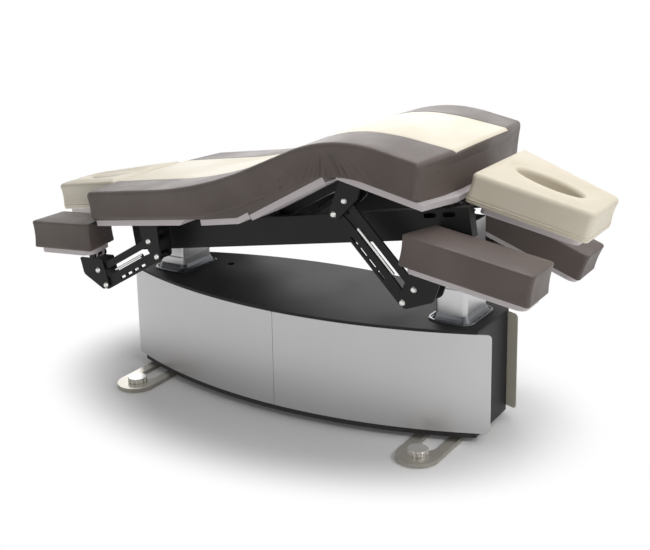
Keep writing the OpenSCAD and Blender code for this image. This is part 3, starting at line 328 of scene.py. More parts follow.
# %% [markdown]
# ## Metals
# Columns are drawn aluminium with upright brush lines, over a smooth cast skirt. Floor bars and
# bolts are ground or polished. An anisotropic shader could smear the highlights, but brush lines
# are also seen from near by, so they are noise drawn out along one axis, in roughness and relief.

# %% Metal finishes
def brushed(name, colour, stretch, rough=0.24, low=0.82):
    """Metal with fine lines: noise drawn out along the axis whose stretch is small."""
    t = Tree(name)
    lines = t.noise(900, 3, stretch)
    wear = t.noise(14, 4).step(0.4, 0.75)
    worn = tuple(low * c for c in colour)
    return t.finish(t.mix(wear * 0.5 + lines * 0.5, worn, colour),
                    rough + 0.14 * lines + 0.06 * wear, metal=1.0,
                    normal=t.bump(lines, 0.00005, 0.45))


def sleeve_metal(skirt_top=0.414):
    """Drawn aluminium above, smooth cast skirt below: the height over the floor parts them."""
    t = Tree("sleeve_aluminium")
    lines = t.noise(800, 3, (1, 1, 0.012))
    skirt = 1 - t.part("Z").step(skirt_top - 0.0005, skirt_top + 0.0005)
    colour = t.mix(skirt, (0.60, 0.60, 0.61), (0.19, 0.20, 0.215))
    return t.finish(colour, 0.26 + 0.16 * lines * (1 - skirt), metal=0.92 - 0.30 * skirt,
                    normal=t.bump(lines * (1 - skirt), 0.00005, 0.4))


def knob_metal(pad_top=0.0039):
    """Turned stainless above and black rubber below, where the pad meets the floor."""
    t = Tree("turned_stainless_on_rubber")
    lines = t.noise(700, 3, (1, 1, 0.05))
    pad = 1 - t.part("Z").step(pad_top - 0.0002, pad_top + 0.0002)
    turned = t.mix(lines, (0.50, 0.49, 0.47), (0.64, 0.63, 0.60))
    return t.finish(t.mix(pad, turned, (0.015, 0.015, 0.015)), 0.25 + 0.12 * lines + 0.4 * pad,
                    metal=1 - pad, normal=t.bump(lines, 0.00004, 0.4))


# %% [markdown]
# ## Boards and plastics
# The boards under the foam are a pale moulded plastic with a faint speckle. Housings and drives
# are dark moulded plastic, and what shows of the foam from below is a plain black board. One plain
# colour would look like a drawing, so each has a speckle in its colour, roughness and relief.

# %% Moulded finishes
def base_board():
    """Two pale tones in soft clouds, with a fine speckle in the relief."""
    t = Tree("moulded_base_board")
    speck = t.noise(420, 3)
    soft = t.noise(6, 3)
    return t.finish(t.mix(soft, (0.560, 0.500, 0.520), (0.660, 0.615, 0.615)),
                    0.42 + 0.10 * speck, normal=t.bump(speck, 0.00008, 0.4),
                    Specular_IOR_Level=0.45)


def moulded(name, colour, rough):
    """Speckle between a colour and four fifths of it."""
    t = Tree(name)
    speck = t.noise(700, 3)
    return t.finish(t.mix(speck, tuple(0.8 * c for c in colour), colour), rough + 0.12 * speck,
                    normal=t.bump(speck, 0.0001, 0.5))


BLACK = powder_coat()
LACQUER = base_lacquer()
SILVER = sprayed_silver()
SLEEVE = sleeve_metal()
STAGE = brushed("stage_aluminium", (0.60, 0.60, 0.61), (1, 1, 0.012), rough=0.26, low=0.9)
BOARD = base_board()
STAINLESS = brushed("ground_stainless", (0.46, 0.44, 0.39), (1, 0.012, 1))
BRIGHT = brushed("polished_steel", (0.72, 0.71, 0.69), (1, 1, 1), rough=0.12, low=0.93)
KNOB = knob_metal()
HOUSING = moulded("dark_housing", (0.016, 0.016, 0.017), 0.55)
PLASTIC = moulded("dark_plastic", (0.030, 0.030, 0.032), 0.48)
UNDERSIDE = moulded("black_foam_board", (0.012, 0.012, 0.012), 0.72)

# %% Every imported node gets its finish
FINISH = {"base_top": LACQUER, "side_panels": SILVER, "base_housing": HOUSING,
          "power_unit": PLASTIC, "actuator_body": PLASTIC, "actuator_rod": BRIGHT}
for name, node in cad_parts.items():
    if name in FINISH:
        material = FINISH[name]
    elif name.endswith("_sleeve"):
        material = SLEEVE
    elif name.endswith("_stage"):
        material = STAGE
    elif name.startswith("levelling_knob"):
        material = KNOB
    elif name.startswith("floor_bar"):
        material = STAINLESS
    elif name.endswith("_plate"):
        material = BOARD
    elif name.endswith(("_cushion", "_crest", "_plug")):
        material = HIDE_TAUPE
    else:
        material = BLACK
    node.data.materials.clear()
    node.data.materials.append(material)
print("finishes on", len(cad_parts), "nodes")

# %% [markdown]
# ## From a grid of points to a closed mesh
# Every new piece is a grid of points: rows along the piece, columns round it. The grid is filled
# with quads in one stroke, both ends shrink to a line or a point, and doubled points there are
# merged, so that the skin is closed and has no rim. Modelling by hand could make one cushion, but a
# function makes them all and follows when a number changes.

# %% Surface from rows of points
def skin(name, grid, materials, cream=None, board=None):
    """Quads between neighbouring rows and columns; the last column joins the first."""
    rows, cols = grid.shape[:2]
    j, i = np.meshgrid(np.arange(rows - 1), np.arange(cols), indexing="ij")
    n = (i + 1) % cols
    faces = np.stack([j * cols + i, j * cols + n, (j + 1) * cols + n, (j + 1) * cols + i], -1)
    faces = faces.reshape(-1, 4)
    points = grid.reshape(-1, 3)
    a, b, c, d = (points[faces[:, k]] for k in range(4))
    volume = (np.einsum("ij,ij->i", a, np.cross(b, c)).sum()
              + np.einsum("ij,ij->i", a, np.cross(c, d)).sum())
    if volume < 0:
        faces = faces[:, ::-1]
    mesh = bpy.data.meshes.new(name)
    mesh.from_pydata(points.tolist(), [], faces.tolist())
    for material in materials:
        mesh.materials.append(material)
    mesh.polygons.foreach_set("use_smooth", np.ones(len(faces), bool))
    if cream is not None:
        painted = mesh.attributes.new("cream", "FLOAT", "POINT")
        painted.data.foreach_set("value", cream.ravel().astype(np.float32))
    if board is not None:
        below = board.ravel()[faces].min(1)
        mesh.polygons.foreach_set("material_index", below.astype(np.int32))
    obj = add(name, mesh)
    merge(obj)
    return obj


def merge(obj, reach=1e-6):
    """Joins points that lie in one place, which closes seams and poles."""
    made = bmesh.new()
    made.from_mesh(obj.data)
    bmesh.ops.remove_doubles(made, verts=made.verts, dist=reach)
    bmesh.ops.dissolve_degenerate(made, edges=made.edges, dist=reach / 2)
    made.to_mesh(obj.data)
    made.free()


# %% [markdown]
# ## The mattress: two bent lines
# Seen from the side, the mattress is two lines bent over the ridge: its top edge and its lower
# edge. A flat block could be bent by a modifier, but that squeezes the foam at the ridge. Here each
# line is straight runs joined by parabolas. A cross-section stands on the lower line and leans
# until it meets the upper one, so foam near the ridge fans out as it does on the real table.

# %% Side view of the mattress: ends are place and height, bends also half their length
TOP_LINE = ((-0.699, 0.1263), (-0.175, 0.110, 0.222), (0.371, 0.254, 0.176), (0.661, 0.137))
EDGE_LINE = ((-0.700, 0.0276), (-0.128, 0.0076, 0.147), (0.346, 0.139, 0.134), (0.650, 0.0143))
# Where five cross-sections stand on the lower line and meet the upper one; the rest lie between.
RIM = (-0.700, -0.699), (-0.235, -0.235), (-0.028, -0.046), (0.352, 0.355), (0.628, 0.661)


def line_height(line, u):
    """Straight runs; within half a bend of a corner, the parabola between both slopes."""
    slopes = [(b[1] - a[1]) / (b[0] - a[0]) for a, b in zip(line, line[1:])]
    height = line[0][1] + slopes[0] * (u - line[0][0])
    for corner, before, after in zip(line[1:], slopes, slopes[1:]):
        at, half = corner[0], corner[2]
        inside = (np.clip(u - at + half, 0, 2 * half)) ** 2 / (4 * half)
        height = height + (after - before) * (inside + np.maximum(u - at - half, 0))
    return height


def support(u):
    """Upper faces of the boards under the foam: four straight runs in the deck's frame."""
    leg_slope, mid_slope, back_slope = (math.radians(s) for s in (LEG_SLOPE, MID_SLOPE, BACK_SLOPE))
    board = -MID_HINGE[1]
    leg_top, leg_end, seat_top, seat_bend = 0.00401, -0.204, 0.002, -0.048
    knee_u, knee_w = 0.35123, 0.09618
    leg = leg_top - (u - LEG_HINGE[0]) * math.tan(leg_slope)
    seat = np.maximum(seat_top, seat_top + (u - seat_bend) * math.tan(mid_slope))
    middle = board / math.cos(mid_slope) - board + (u - MID_HINGE[0]) * math.tan(mid_slope)
    back = knee_w + board / math.cos(back_slope) - (u - knee_u) * math.tan(back_slope)
    return np.select([u < leg_end, u < 0, u < knee_u], [leg, seat, middle], back)


places = np.linspace(0, 0.6, 601)
ridge = float(places[line_height(TOP_LINE, places).argmax()])
print("ridge", round(ridge, 3), "m along the deck from its middle")

# %% [markdown]
# ## The mattress: its cross-section
# Half a section runs from the middle of the underside, round the tucked lower edge, up a side that
# is drawn in a little, over a rolled edge and across the crowned top, with a narrow sewn groove
# where the cream stripe begins. A bevelled box could have the rolled edge, but a listed profile
# also gives the groove and the tuck their own columns. They are closer together at the edges, where
# the light turns.

# %% Half section: distance across, then height in metres, plus shares of full height and of sink
HALF, STRIPE, ROLL, CROWN = 0.400, 0.208, 0.013, 0.0045
SIDE, TUCK, PULL, SEAM_TOP = 0.3992, 0.005, 0.0052, 0.0033


def crowned(places):
    """Columns across the top: a parabola, highest on the middle line."""
    return [(y, CROWN * (1 - (y / HALF) ** 2), 1.0, 0.0) for y in places]


SECTION = [(y, 0.0, 0.0, 1.0) for y in (0.0, 0.14, 0.26, 0.335, 0.3853)]
SECTION += [(0.3883, 0.0, 0.0, 0.0), (0.3915, 0.0, 0.0, 0.0), (0.3965, 0.0016, 0.0, 0.0),
            (0.3990, 0.0050, 0.0, 0.0)]
for k in np.linspace(0, 1, 18)[1:-1]:
    drawn_in = PULL * math.sin(math.pi * k) ** 0.8
    SECTION.append((SIDE - drawn_in, TUCK - (ROLL + TUCK) * k, k, 0.0))
for k in np.linspace(0, 90, 8):
    SECTION.append((HALF - 0.001 - ROLL * (1 - math.cos(math.radians(k))),
                    -ROLL * (1 - math.sin(math.radians(k))), 1.0, 0.0))
SECTION += crowned(np.linspace(0.375, STRIPE + 0.010, 11))
# Half of the sewn groove: distance from its middle, and depth.
GROOVE = [(0.006, 0.0001), (0.0035, 0.0006), (0.0018, 0.0016), (0.0006, 0.0026)]
for g, d in GROOVE + [(0.0, 0.0029)] + [(-g, d) for g, d in GROOVE[::-1]]:
    SECTION.append((STRIPE + g, SEAM_TOP - d, 1.0, 0.0))
SECTION += crowned(np.linspace(STRIPE - 0.014, 0, 9))
HALF_RING = np.array(SECTION)
RING = np.concatenate([HALF_RING, HALF_RING[-2:0:-1] * [-1, 1, 1, 1]])
ACROSS, RAISED, SHARE, SUNK = RING.T
ON_TOP = (SHARE == 1.0) & (RAISED > -ROLL * 0.7)
print("points round the mattress:", len(RING))

# %% [markdown]
# ## Creases
# The cover is sewn to fit the flat mattress. Over the ridge its side is squeezed, so it gathers in
# a fan of short creases, deepest at the lower edge. In the valley the top is slack, and fine
# slanting lines run in from the edge. A cloth simulation could gather the cover too, but a formula
# gives the same folds on every run, and puts them where the photograph has them. Each crease is a
# narrow groove with a soft bank beside it.

# %% Crease relief
rng = np.random.default_rng(7)


def groove(distance, width):
    """A narrow furrow with raised banks: a negative bell less half of a wider one."""
    x = (distance / width) ** 2
    return 0.45 * np.exp(-x / 5) - 1.25 * np.exp(-x)


def side_creases(u, share, folds=15, depth=0.0066):
    """Fan of furrows on the side faces: spokes, by angle, of a point a little above the ridge."""
    focus_u, focus_share, foam = 0.335, 1.25, 0.115
    angle = np.degrees(np.arctan2(u - focus_u, (focus_share - share) * foam))
    relief = np.zeros_like(u)
    for k in np.linspace(-60, 56, folds) + rng.uniform(-2.6, 2.6, folds):
        reach = rng.uniform(0.35, 0.95)
        strength = rng.uniform(0.5, 1.0) * math.exp(-(k / 62) ** 2)
        fade = np.clip((reach - share) / 0.35, 0, 1) * np.clip((share + 0.02) / 0.05, 0, 1)
        relief += strength * fade * groove(angle - k, rng.uniform(1.7, 3.0))
    return depth * relief


def valley_creases(u, across, lines=13, depth=0.0013):
    """Slanting lines that run in over the top from the edge, either side of the valley."""
    first, apart, width = -0.215, 0.022, 0.0042
    relief = np.zeros_like(u)
    inward = HALF - across
    for k in range(lines):
        start = first + apart * k + rng.uniform(-0.006, 0.006)
        lean = rng.uniform(1.3, 2.2)
        reach = rng.uniform(0.03, 0.085)
        fade = np.clip(1 - inward / reach, 0, 1) ** 1.2
        relief += rng.uniform(0.4, 1.0) * fade * groove(u - start - lean * inward, width)
    return depth * relief


# %% [markdown]
# ## The mattress: laying the rows
# Rows run from the foot end to the head end. Both ends come to a blunt point across the stripe. A
# flat cap would leave a hard rim there, but the real cover is rolled like the long edges, so the
# last rows step in along a quarter circle, and the end face then shrinks to a line.

# %% Rows of the mattress
PACE = 1.2                 # metres from share 0 to share 1 at the pace of the head end
BLUNT, FADE = 0.033, 0.19  # how far the stripe stands out at an end, and how far off that begins
OVER_BOARD = 0.0004


def rows_along(share_from, share_to, count, end):
    """Shares of the way, and how far each row steps in: a quarter circle at a closed end."""
    along = np.linspace(share_from, share_to, count)
    if not end:
        return along, np.zeros(count)
    quarter = np.radians(np.linspace(0, 90, 9))
    rim, step = ROLL * (1 - np.sin(quarter)) / PACE, ROLL * (1 - np.cos(quarter))
    if end < 0:
        along = along[along > rim.max()]
        return (np.concatenate([rim[::-1], along]),
                np.concatenate([step[::-1], np.zeros(len(along))]))
    along = along[along < 1 - rim.max()]
    return np.concatenate([along, 1 - rim]), np.concatenate([np.zeros(len(along)), step])


def mattress_rows(share_from, share_to, count, end):
    """Points are low + lean * height: a cross-section stands on one line and leans to the other.

    end is -1 at the foot, 1 at the head and 0 inside. Near an end the rows are pushed out towards
    the stripe. The underside sinks or rises to the boards, and three rounds settle by how much.
    """
    along, inset = rows_along(share_from, share_to, count, end)
    fine = np.linspace(0, 1, 400)
    keys = np.linspace(0, 1, len(RIM))
    low_u, top_u = (np.interp(along, fine, np.interp(fine, keys, us)) for us in zip(*RIM))
    low = np.stack([low_u, line_height(EDGE_LINE, low_u)], -1)
    lean = np.stack([top_u, line_height(TOP_LINE, top_u)], -1) - low
    tall = np.linalg.norm(lean, axis=1)
    lean = lean / tall[:, None]
    y = np.sign(ACROSS) * np.maximum(np.abs(ACROSS)[None] - inset[:, None], 0.0)
    blunt = BLUNT * (1 - np.clip((np.abs(y) - STRIPE) / (HALF - STRIPE), 0, 1))
    from_end = np.minimum((top_u - RIM[0][1]) / FADE, (RIM[-1][1] - top_u) / FADE)
    side = np.where(top_u < 0, -1.0, 1.0) * np.clip(1 - from_end, 0, 1)
    point = side[:, None] * blunt
    sink = np.zeros_like(point)
    for _ in range(3):
        board = support(low[:, :1] + point + lean[:, :1] * sink)
        sink = (board + OVER_BOARD - low[:, 1:]) / lean[:, 1:]
    high = RAISED + SHARE * (tall - inset)[:, None] + SUNK * sink
    high = high + (SHARE < 0.02) * (SUNK == 0) * 0.4 * inset[:, None]
    u = low[:, :1] + lean[:, :1] * high + point
    w = low[:, 1:] + lean[:, 1:] * high
    return u, y, w, inset, high / tall[:, None]


# %% One piece of the mattress, with its creases and closed ends
def end_cap(rim, closed, shrink=0.7):
    """Rows that shrink a rim to a line across it: softly at a closed end, at once inside."""
    middle = rim.mean(0)
    line = np.stack([np.full(len(rim), middle[0]), shrink * rim[:, 1],
                     np.full(len(rim), middle[2])], -1)
    shares = (0.06, 0.25, 0.6, 1.0) if closed else (1.0,)
    return np.array([rim + (line - rim) * t for t in shares])


def mattress_piece(name, share_from, share_to, count, end=0):
    """The relief moves the side outwards and the top upwards, then both ends are capped."""
    u, y, w, inset, share = mattress_rows(share_from, share_to, count, end)
    on_side = (SHARE > 0.02) & (SHARE < 0.999) | (np.abs(ACROSS) > 0.3985)
    y = y + np.sign(y) * side_creases(u, np.clip(share, 0, 1)) * on_side
    w = w + valley_creases(u, np.abs(y)) * (ON_TOP & (np.abs(y) > STRIPE + 0.01))
    cream = (ON_TOP & (np.abs(ACROSS) < STRIPE + 0.0004)) & (inset < ROLL * 0.55)[:, None]
    under = np.broadcast_to(SUNK > 0.3, y.shape)
    grid = np.stack([u, y, w], -1)
    foot, head = end_cap(grid[0], end < 0), end_cap(grid[-1], end > 0)
    grid = np.concatenate([foot[::-1], grid, head])

    def capped(flags):
        return np.pad(flags, ((len(foot), len(head)), (0, 0)))

    obj = skin(name, laid(grid.reshape(-1, 3), DECK).reshape(grid.shape), [HIDE_BOTH, UNDERSIDE],
               cream=capped(cream.astype(float)), board=capped(under.astype(int)))
    obj.data.set_sharp_from_angle(angle=math.radians(50))
    print(name, len(obj.data.polygons), "faces")
    return obj


# %% [markdown]
# ## Three pieces over three hinges
# The cover is continuous, but it crosses three hinges. It is made in three pieces that meet end to
# end, so no gap opens, and each has one of the hinges in its own middle.

# %% Leg, middle and back pieces
def deck_point(u, w=0.06):
    """A place along the deck and above it, in the table's frame."""
    return tuple(laid([[u, 0, w]], DECK)[0])


def upholster(piece, fill, *nodes):
    """Hides the imported nodes that a padded piece takes the place of."""
    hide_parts(*nodes)


LEG_TO_MID, MID_TO_BACK = 0.40, 0.62
leg_part = mattress_piece("mattress_leg_part", 0.0, LEG_TO_MID, 200, end=-1)
upholster(leg_part, 0.8, "leg_cushion", "seat_cushion")
deck_point(-0.300)
deck_point(-0.170)
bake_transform(leg_part)

mid_part = mattress_piece("mattress_mid_part", LEG_TO_MID, MID_TO_BACK, 180)
upholster(mid_part, 0.8, "mid_cushion")
deck_point(-0.090)
deck_point(0.050)
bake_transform(mid_part)

back_part = mattress_piece("mattress_back_part", MID_TO_BACK, 1.0, 260, end=1)
upholster(back_part, 0.8, "back_cushion", "mattress_crest")
deck_point(0.275, 0.15)
deck_point(0.430, 0.15)
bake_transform(back_part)

# %% [markdown]
# ## Loose cushions: the outline
# Armrests and end rests are blocks of foam in a boxed cover: a side strip sewn to a top panel.
# Their outline is a polygon with rounded corners. A bevel could round them too, but an outline
# sampled evenly along its way also keeps the quads alike all round.

# %% Outline with rounded corners
def outline(corners, count):
    """Corners are x, y, radius; arcs joined by straight runs, sampled evenly along the way."""
    path = []
    for k, (x, y, radius) in enumerate(corners):
        p = np.array([x, y])
        before, after = (unit(np.array(corners[(k + s) % len(corners)][:2]) - p) for s in (-1, 1))
        half = math.acos(before @ after) / 2
        centre = p + unit(before + after) * radius / math.sin(half)
        first, last = (p + s * radius / math.tan(half) - centre for s in (before, after))
        start = math.atan2(first[1], first[0])
        sweep = math.atan2(first[0] * last[1] - first[1] * last[0], first @ last)
        angles = start + sweep * np.linspace(0, 1, 13)
        path.append(centre + radius * np.stack([np.cos(angles), np.sin(angles)], -1))
    path = np.concatenate(path + [path[0][:1]])
    away = np.concatenate([[0], np.cumsum(np.linalg.norm(np.diff(path, axis=0), axis=1))])
    at = np.linspace(0, away[-1], count, endpoint=False)
    return np.stack([np.interp(at, away, path[:, c]) for c in (0, 1)], -1)


def inward(line):
    """Unit vectors that point into a closed outline, from its neighbours' direction."""
    along = np.roll(line, -1, 0) - np.roll(line, 1, 0)
    normal = np.stack([-along[:, 1], along[:, 0]], -1)
    normal /= np.linalg.norm(normal, axis=1)[:, None]
    area = (line[:, 0] * np.roll(line[:, 1], -1) - line[:, 1] * np.roll(line[:, 0], -1)).sum()
    return normal * np.sign(area)


# %% [markdown]
# ## Loose cushions: side and top
# Going up, the outline is drawn in at mid height and swells to the sewn edge. Then it steps inwards
# over the top to a middle line while the crown rises, or dips over a soft lip into an oval hole.
# The hole could be cut out afterwards, but rows that lead round its rim keep the lip smooth.

# %% Side strip of a cushion
def side_profile(height, roll, pull, welt):
    """Steps in and heights: tucked, drawn in, a welt if asked, then the rolled edge."""
    steps = [(0.004, 0.0), (0.0012, 0.0012), (0.0, 0.004)]
    if welt:
        bead, foot = 0.0012, 0.012
        steps.append((bead, foot - 0.0008))
        steps += [(-bead * math.sin(k), foot + 0.0018 * (1 - math.cos(k)))
                  for k in np.linspace(0, math.pi, 5)]
        steps.append((0.0014, 0.0164))
    low = steps[-1][1] + 0.004
    for t in np.linspace(0, 1, 13):
        steps.append((pull * math.sin(math.pi * t) ** 0.8, low + (height - roll - low) * t))
    for k in np.radians(np.linspace(12, 90, 8)):
        steps.append((roll * (1 - math.cos(k)), height - roll * (1 - math.sin(k))))
    return steps


# %% Top of a cushion, plain or with a hole
def level(points, height):
    """One row of points at one height."""
    return np.column_stack([points, np.full(len(points), height)])


def plain_top(edge, lowest, height, crown):
    """Rows under the cushion, and rows over it to its middle line, up a curve of power 2.2."""
    lo, hi = edge.min(0), edge.max(0)
    margin = (hi - lo).min() / 2
    middle = np.stack([np.clip(edge[:, 0], lo[0] + margin, hi[0] - margin),
                       np.full(len(edge), (hi[1] + lo[1]) / 2)], -1)
    under = [level(lowest + (middle - lowest) * t, 0.0) for t in (1.0, 0.5, 0.1)]
    over = [level(edge + (middle - edge) * t, height + crown * (1 - (1 - t) ** 2.2))
            for t in (0.03, 0.08, 0.16, 0.28, 0.45, 0.65, 0.85, 1.0)]
    return under, over


def holed_top(rim, lowest, edge, height, crown, dish, hole):
    """Rows over a crown and a dished lip, round into an oval hole, down it and back below."""
    x0, half_long, half_wide, soft = hole
    at = np.arctan2(rim[:, 1] / half_wide, (rim[:, 0] - x0) / half_long)
    wall = height - dish - 1.1 * soft

    def oval(grow):
        return np.stack([x0 + (half_long + grow) * np.cos(at), (half_wide + grow) * np.sin(at)], -1)

    rows = [level(edge + (oval(soft) - edge) * t,
                  height + crown * math.sin(math.pi * min(1, 1.15 * t)) - dish * t ** 3)
            for t in (0.04, 0.10, 0.2, 0.35, 0.5, 0.65, 0.8, 0.92)]
    rows += [level(oval(soft * (1 - math.sin(k))), wall + 1.1 * soft * math.cos(k))
             for k in np.radians(np.linspace(0, 90, 9))]
    rows += [level(oval(0.0015 * math.sin(math.pi * t)), (1 - t) * wall)
             for t in (0.3, 0.6, 0.85, 1.0)]
    return rows + [level(oval(0) + (lowest - oval(0)) * t, 0.0) for t in (0.1, 0.9)]


# %% A whole cushion
def boxed_cushion(name, corners, height, matrix, hide, roll, pull=0.003, crown=0.006, welt=False,
                  hole=None, dish=0.0, count=220):
    """Rows climb the side strip, then cross the top to a middle line, or to an oval hole."""
    rim = outline(corners, count)
    into = inward(rim)
    side = [level(rim + into * step, z) for step, z in side_profile(height, roll, pull, welt)]
    edge, lowest = rim + into * roll, side[0][:, :2]
    if hole is None:
        under, over = plain_top(edge, lowest, height, crown)
        grid = np.array(under + side + over)
    else:
        grid = np.array(side + holed_top(rim, lowest, edge, height, crown, dish, hole) + side[:1])
    obj = skin(name, laid(grid.reshape(-1, 3), matrix).reshape(grid.shape), [hide])
    obj.data.set_sharp_from_angle(angle=math.radians(55))
    print(name, len(obj.data.polygons), "faces")
    return obj


# %% [markdown]
# ## Armrests
# Each armrest's cushion is longer at the head end than at the foot end, and its end over the pivot
# is cut on a slant to clear the mattress. Each could be drawn by itself, but its frame is the end
# of a pair of parallel links, so one loop works out all four places from their length and drop.

# %% Four armrest cushions
Arm = namedtuple("Arm", "root link drop side length tilt")
HEAD_ROOT, FOOT_ROOT = BACK @ move(0, -0.114), LEG @ move(-0.219, -0.127) @ FLIP
ARMS = {"near_head": Arm(HEAD_ROOT, 0.351, 33.1, -1, 0.430, -3.5),
        "far_head": Arm(HEAD_ROOT, 0.351, 47.5, 1, 0.430, 8.2),
        "near_foot": Arm(FOOT_ROOT, 0.288, 22.3, -1, 0.285, -3.5),
        "far_foot": Arm(FOOT_ROOT, 0.288, 22.3, 1, 0.285, -3.5)}
PAD_PIVOT, PAD_PLACE, PAD_SLANT, PAD_HIGH = (0.046, 0.112), (-0.062, 0.0343), 0.036, 0.100
PAD_IN, PAD_OUT = 0.252, 0.420
CLEVIS = {}
for name, arm in ARMS.items():
    drop = math.radians(arm.drop)
    CLEVIS[name] = arm.root @ move(arm.link * math.cos(drop), -arm.link * math.sin(drop))
    pad = CLEVIS[name] @ move(*PAD_PIVOT) @ turn(arm.tilt) @ move(*PAD_PLACE)
    corners = [(0, arm.side * PAD_OUT, 0.012), (PAD_SLANT, arm.side * PAD_IN, 0.014),
               (arm.length, arm.side * PAD_IN, 0.014), (arm.length, arm.side * PAD_OUT, 0.014)]
    cushion = boxed_cushion(f"{name}_arm_pad", corners, PAD_HIGH, pad, HIDE_TAUPE, roll=0.007,
                            crown=0.004)
    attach(cushion, f"{name}_armrest")
    upholster(cushion, 0.85, f"{name}_arm_cushion")

# %% [markdown]
# ## Face rest and foot rest
# Both end rests are tapered cream cushions. The face rest has an oval opening with a soft, dished
# lip. The foot rest has the same opening, closed by a loose plug with a rolled rim, which stands
# slightly proud. One function makes both, because only their place, edge and lip differ.

# %% End cushions
REST_LONG, REST_WIDE, REST_TIP, REST_HIGH = 0.381, 0.412, 0.235, 0.102
HOLE_X, HOLE_LONG, HOLE_WIDE = 0.48 * REST_LONG, 0.113, 0.048
FACE_START, FOOT_START = -0.010, 0.010
FACE_SEAT, FOOT_SEAT = FACE @ move(0, 0.0303), FOOT_REST @ move(0, 0.0313)


def end_rest(name, matrix, start, roll, lip, dish=0.0):
    """A tapered block, wide at its root and narrow at its tip, with an oval hole in it."""
    end = start + REST_LONG
    corners = [(start, -REST_WIDE / 2, 0.013), (end, -REST_TIP / 2, 0.026),
               (end, REST_TIP / 2, 0.026), (start, REST_WIDE / 2, 0.013)]
    return boxed_cushion(name, corners, REST_HIGH, matrix, HIDE_CREAM, roll, welt=True,
                         hole=(start + HOLE_X, HOLE_LONG, HOLE_WIDE, lip), dish=dish, count=300)


face_pad = end_rest("face_rest_pad", FACE_SEAT, FACE_START, roll=0.016, lip=0.016, dish=0.003)
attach(face_pad, "face_rest")
upholster(face_pad, 0.85, "face_cushion")

foot_pad = end_rest("foot_rest_pad", FOOT_SEAT, FOOT_START, roll=0.014, lip=0.007)
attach(foot_pad, "foot_rest")
upholster(foot_pad, 0.85, "foot_rest_cushion")


# %% The plug in the foot rest
def plug_rows(gap=0.0010, height=0.1035, crown=0.004, roll=0.006, count=160):
    """An oval block: straight sides, a rolled rim, and a crown that rises to the middle line."""
    at = np.linspace(0, 2 * math.pi, count, endpoint=False)
    half_long, half_wide = HOLE_LONG - gap, HOLE_WIDE - gap
    rows = [(half_wide, 0.0), (0.02, 0.0), (0.002, 0.0), (0.0, 0.002)]
    rows += [(0.0, height * t) for t in (0.3, 0.6, 0.88)]
    rows += [(roll * (1 - math.cos(k)), height - roll * (1 - math.sin(k)))
             for k in np.radians(np.linspace(0, 90, 7))]
    rows += [(roll + (half_wide - roll) * t, height + crown * (1 - (1 - t) ** 2))
             for t in (0.15, 0.35, 0.6, 0.8, 1.0)]
    return np.array([level(np.stack([FOOT_START + HOLE_X + (half_long - step) * np.cos(at),
                                     (half_wide - step) * np.sin(at)], -1), z)
                     for step, z in rows])


grid = plug_rows()
plug = skin("foot_rest_oval_plug", laid(grid.reshape(-1, 3), FOOT_SEAT).reshape(grid.shape),
            [HIDE_CREAM])
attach(plug, "foot_plug")
upholster(plug, 0.9, "foot_rest_plug")
print("plug", len(plug.data.polygons), "faces")

# %% [markdown]
# ## Domed bolt heads and lock rods
# The arms turn on bolts with polished domed heads, which catch the light against the black links. A
# dome is a profile turned about its axis: half a sphere would stand too high for such a low head.
# Each one covers the plain head that the frame has there. A slim round rod lies along each link.

# %% Domes on the pivots
DOME = [(0.0, 0.0068), (0.0030, 0.0066), (0.0058, 0.0056), (0.0080, 0.0038), (0.0092, 0.0016),
        (0.0096, 0.0), (0.0104, -0.0002), (0.0104, -0.0009), (0.0, -0.0009)]
PIVOTS, LINK_FACE = ((0, 0), (0.028, 0.056)), 0.3545


def dome(name, at, side, body, count=28):
    """Profile radius and height, turned through a full circle about the Y axis."""
    angle = np.linspace(0, 2 * math.pi, count, endpoint=False)
    rows = [np.stack([at[0] + r * np.cos(angle), np.full(count, at[1] + side * h),
                      at[2] + r * np.sin(angle)], -1) for r, h in DOME]
    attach(skin(name, np.array(rows), [BRIGHT]), body)


for name, arm in ARMS.items():
    section = "back_section" if "head" in name else "leg_section"
    for matrix, body, label in ((arm.root, section, "upper"),
                                (CLEVIS[name], f"{name}_clevis", "lower")):
        for k, (x, z) in enumerate(PIVOTS):
            at = laid([[x, arm.side * LINK_FACE, z]], matrix)[0]
            dome(f"{name}_{label}_dome_{k + 1}", at, arm.side, body)
print(len(ARMS) * 2 * len(PIVOTS), "domes")


# %% Lock rods over the links
def rod(name, start, end, radius, body, count=24):
    """A round bar with rounded ends: circles carried along a straight line."""
    axis = unit(end - start)
    side = unit(np.cross(axis, [0, 1, 0.001]))
    other = np.cross(axis, side)
    angle = np.linspace(0, 2 * math.pi, count, endpoint=False)[:, None]
    length = np.linalg.norm(end - start)
    round_off = 0.25 * radius
    steps = [(0, 0.0), (0, 0.75), (round_off, 1.0), (length - round_off, 1.0), (length, 0.75),
             (length, 0.0)]
    rows = [start + axis * d + radius * s * (side * np.cos(angle) + other * np.sin(angle))
            for d, s in steps]
    obj = skin(name, np.array(rows), [BRIGHT])
    obj.data.set_sharp_from_angle(angle=math.radians(40))
    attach(obj, body)


ROD_Y, ROD_Z, ROD_R, ROD_TRIM = 0.34125, 0.033, 0.0048, 0.004
for name, arm in ARMS.items():
    start, end = laid([[x, arm.side * ROD_Y, ROD_Z] for x in
                       (arm.link * 0.25 - ROD_TRIM, arm.link * 0.75 + ROD_TRIM)],
                      arm.root @ turn(arm.drop))
    rod(f"{name}_lock_rod", start, end, ROD_R, f"{name}_link")
print(len(ARMS), "lock rods")

# %% [markdown]
# ## Floor, light and world
# The photograph has a white sweep and broad soft light. One lamp hangs overhead, a smaller one
# stands at the head end and a long one behind, all at a plain level. The floor keeps the shadow
# near the table and is plain white further off, because brighter lamps would bleach the table too.
# The world is white to the camera and in reflections, and dim as a light.

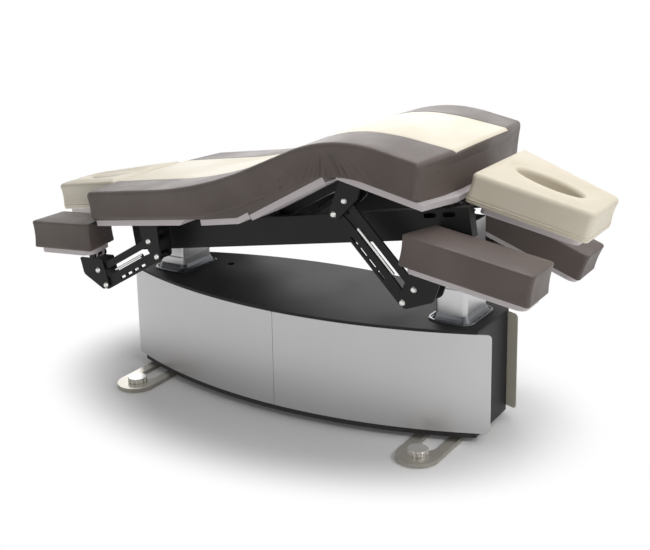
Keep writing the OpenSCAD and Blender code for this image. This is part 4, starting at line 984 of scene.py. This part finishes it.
# %% Floor
def studio_white():
    """Matt white near the table, white light further off, parted by an ellipse in plan."""
    t = Tree("studio_floor")
    t.finish((0.90, 0.90, 0.90), 0.9, Specular_IOR_Level=0.0)
    glow, white = (t.node("ShaderNodeEmission", {"Color": (1, 1, 1, 1), "Strength": strength})
                   for strength in (0.05, 1.0))
    near = t.node("ShaderNodeAddShader", [Value(t, t.shader.outputs[0]), glow])
    x, y = t.part("X") / 1.05, t.part("Y") / 0.74
    far = (x * x + y * y).step(0.42, 1.15)
    both = t.node("ShaderNodeMixShader", {0: far, 1: near, 2: white})
    t.links.new(both.socket, t.nodes["Material Output"].inputs["Surface"])
    return t.owner


REACH = 14
mesh = bpy.data.meshes.new("floor")
mesh.from_pydata([(-REACH, -REACH, 0), (REACH, -REACH, 0), (REACH, REACH, 0), (-REACH, REACH, 0)],
                 [], [(0, 1, 2, 3)])
mesh.materials.append(studio_white())
add("floor", mesh)
print("floor", 2 * REACH, "m across")


# %% Lamps
def soft_box(name, at, towards, size, watts):
    """A rectangular lamp at one place, aimed at another."""
    light = bpy.data.lights.new(name, "AREA")
    light.shape, light.size, light.size_y, light.energy = "RECTANGLE", *size, watts
    obj = add(name, light)
    obj.location = at
    obj.rotation_mode = "QUATERNION"
    obj.rotation_quaternion = (Vector(towards) - Vector(at)).to_track_quat("-Z", "Y")
    print(name, watts, "W")


soft_box("overhead", (0.6, 0.8, 3.9), (0.1, 0, 0.4), (3.0, 2.0), 94)
soft_box("head_end", (3.6, -0.9, 2.9), (0.3, 0, 0.7), (1.6, 1.6), 48)
soft_box("behind", (-2.3, 3.7, 2.0), (0, 0, 0.8), (3.4, 1.5), 44)

# %% World
AMBIENT = 0.15
sky = Tree("studio", "worlds", "Background")
camera_ray, glossy_ray = (sky.node("ShaderNodeLightPath", output=ray)
                          for ray in ("Is Camera Ray", "Is Glossy Ray"))
seen = camera_ray.math("MAXIMUM", glossy_ray)
bpy.context.scene.world = sky.finish(Color=(1, 1, 1), Strength=AMBIENT + (1 - AMBIENT) * seen)
bpy.context.scene.view_settings.view_transform = "Standard"
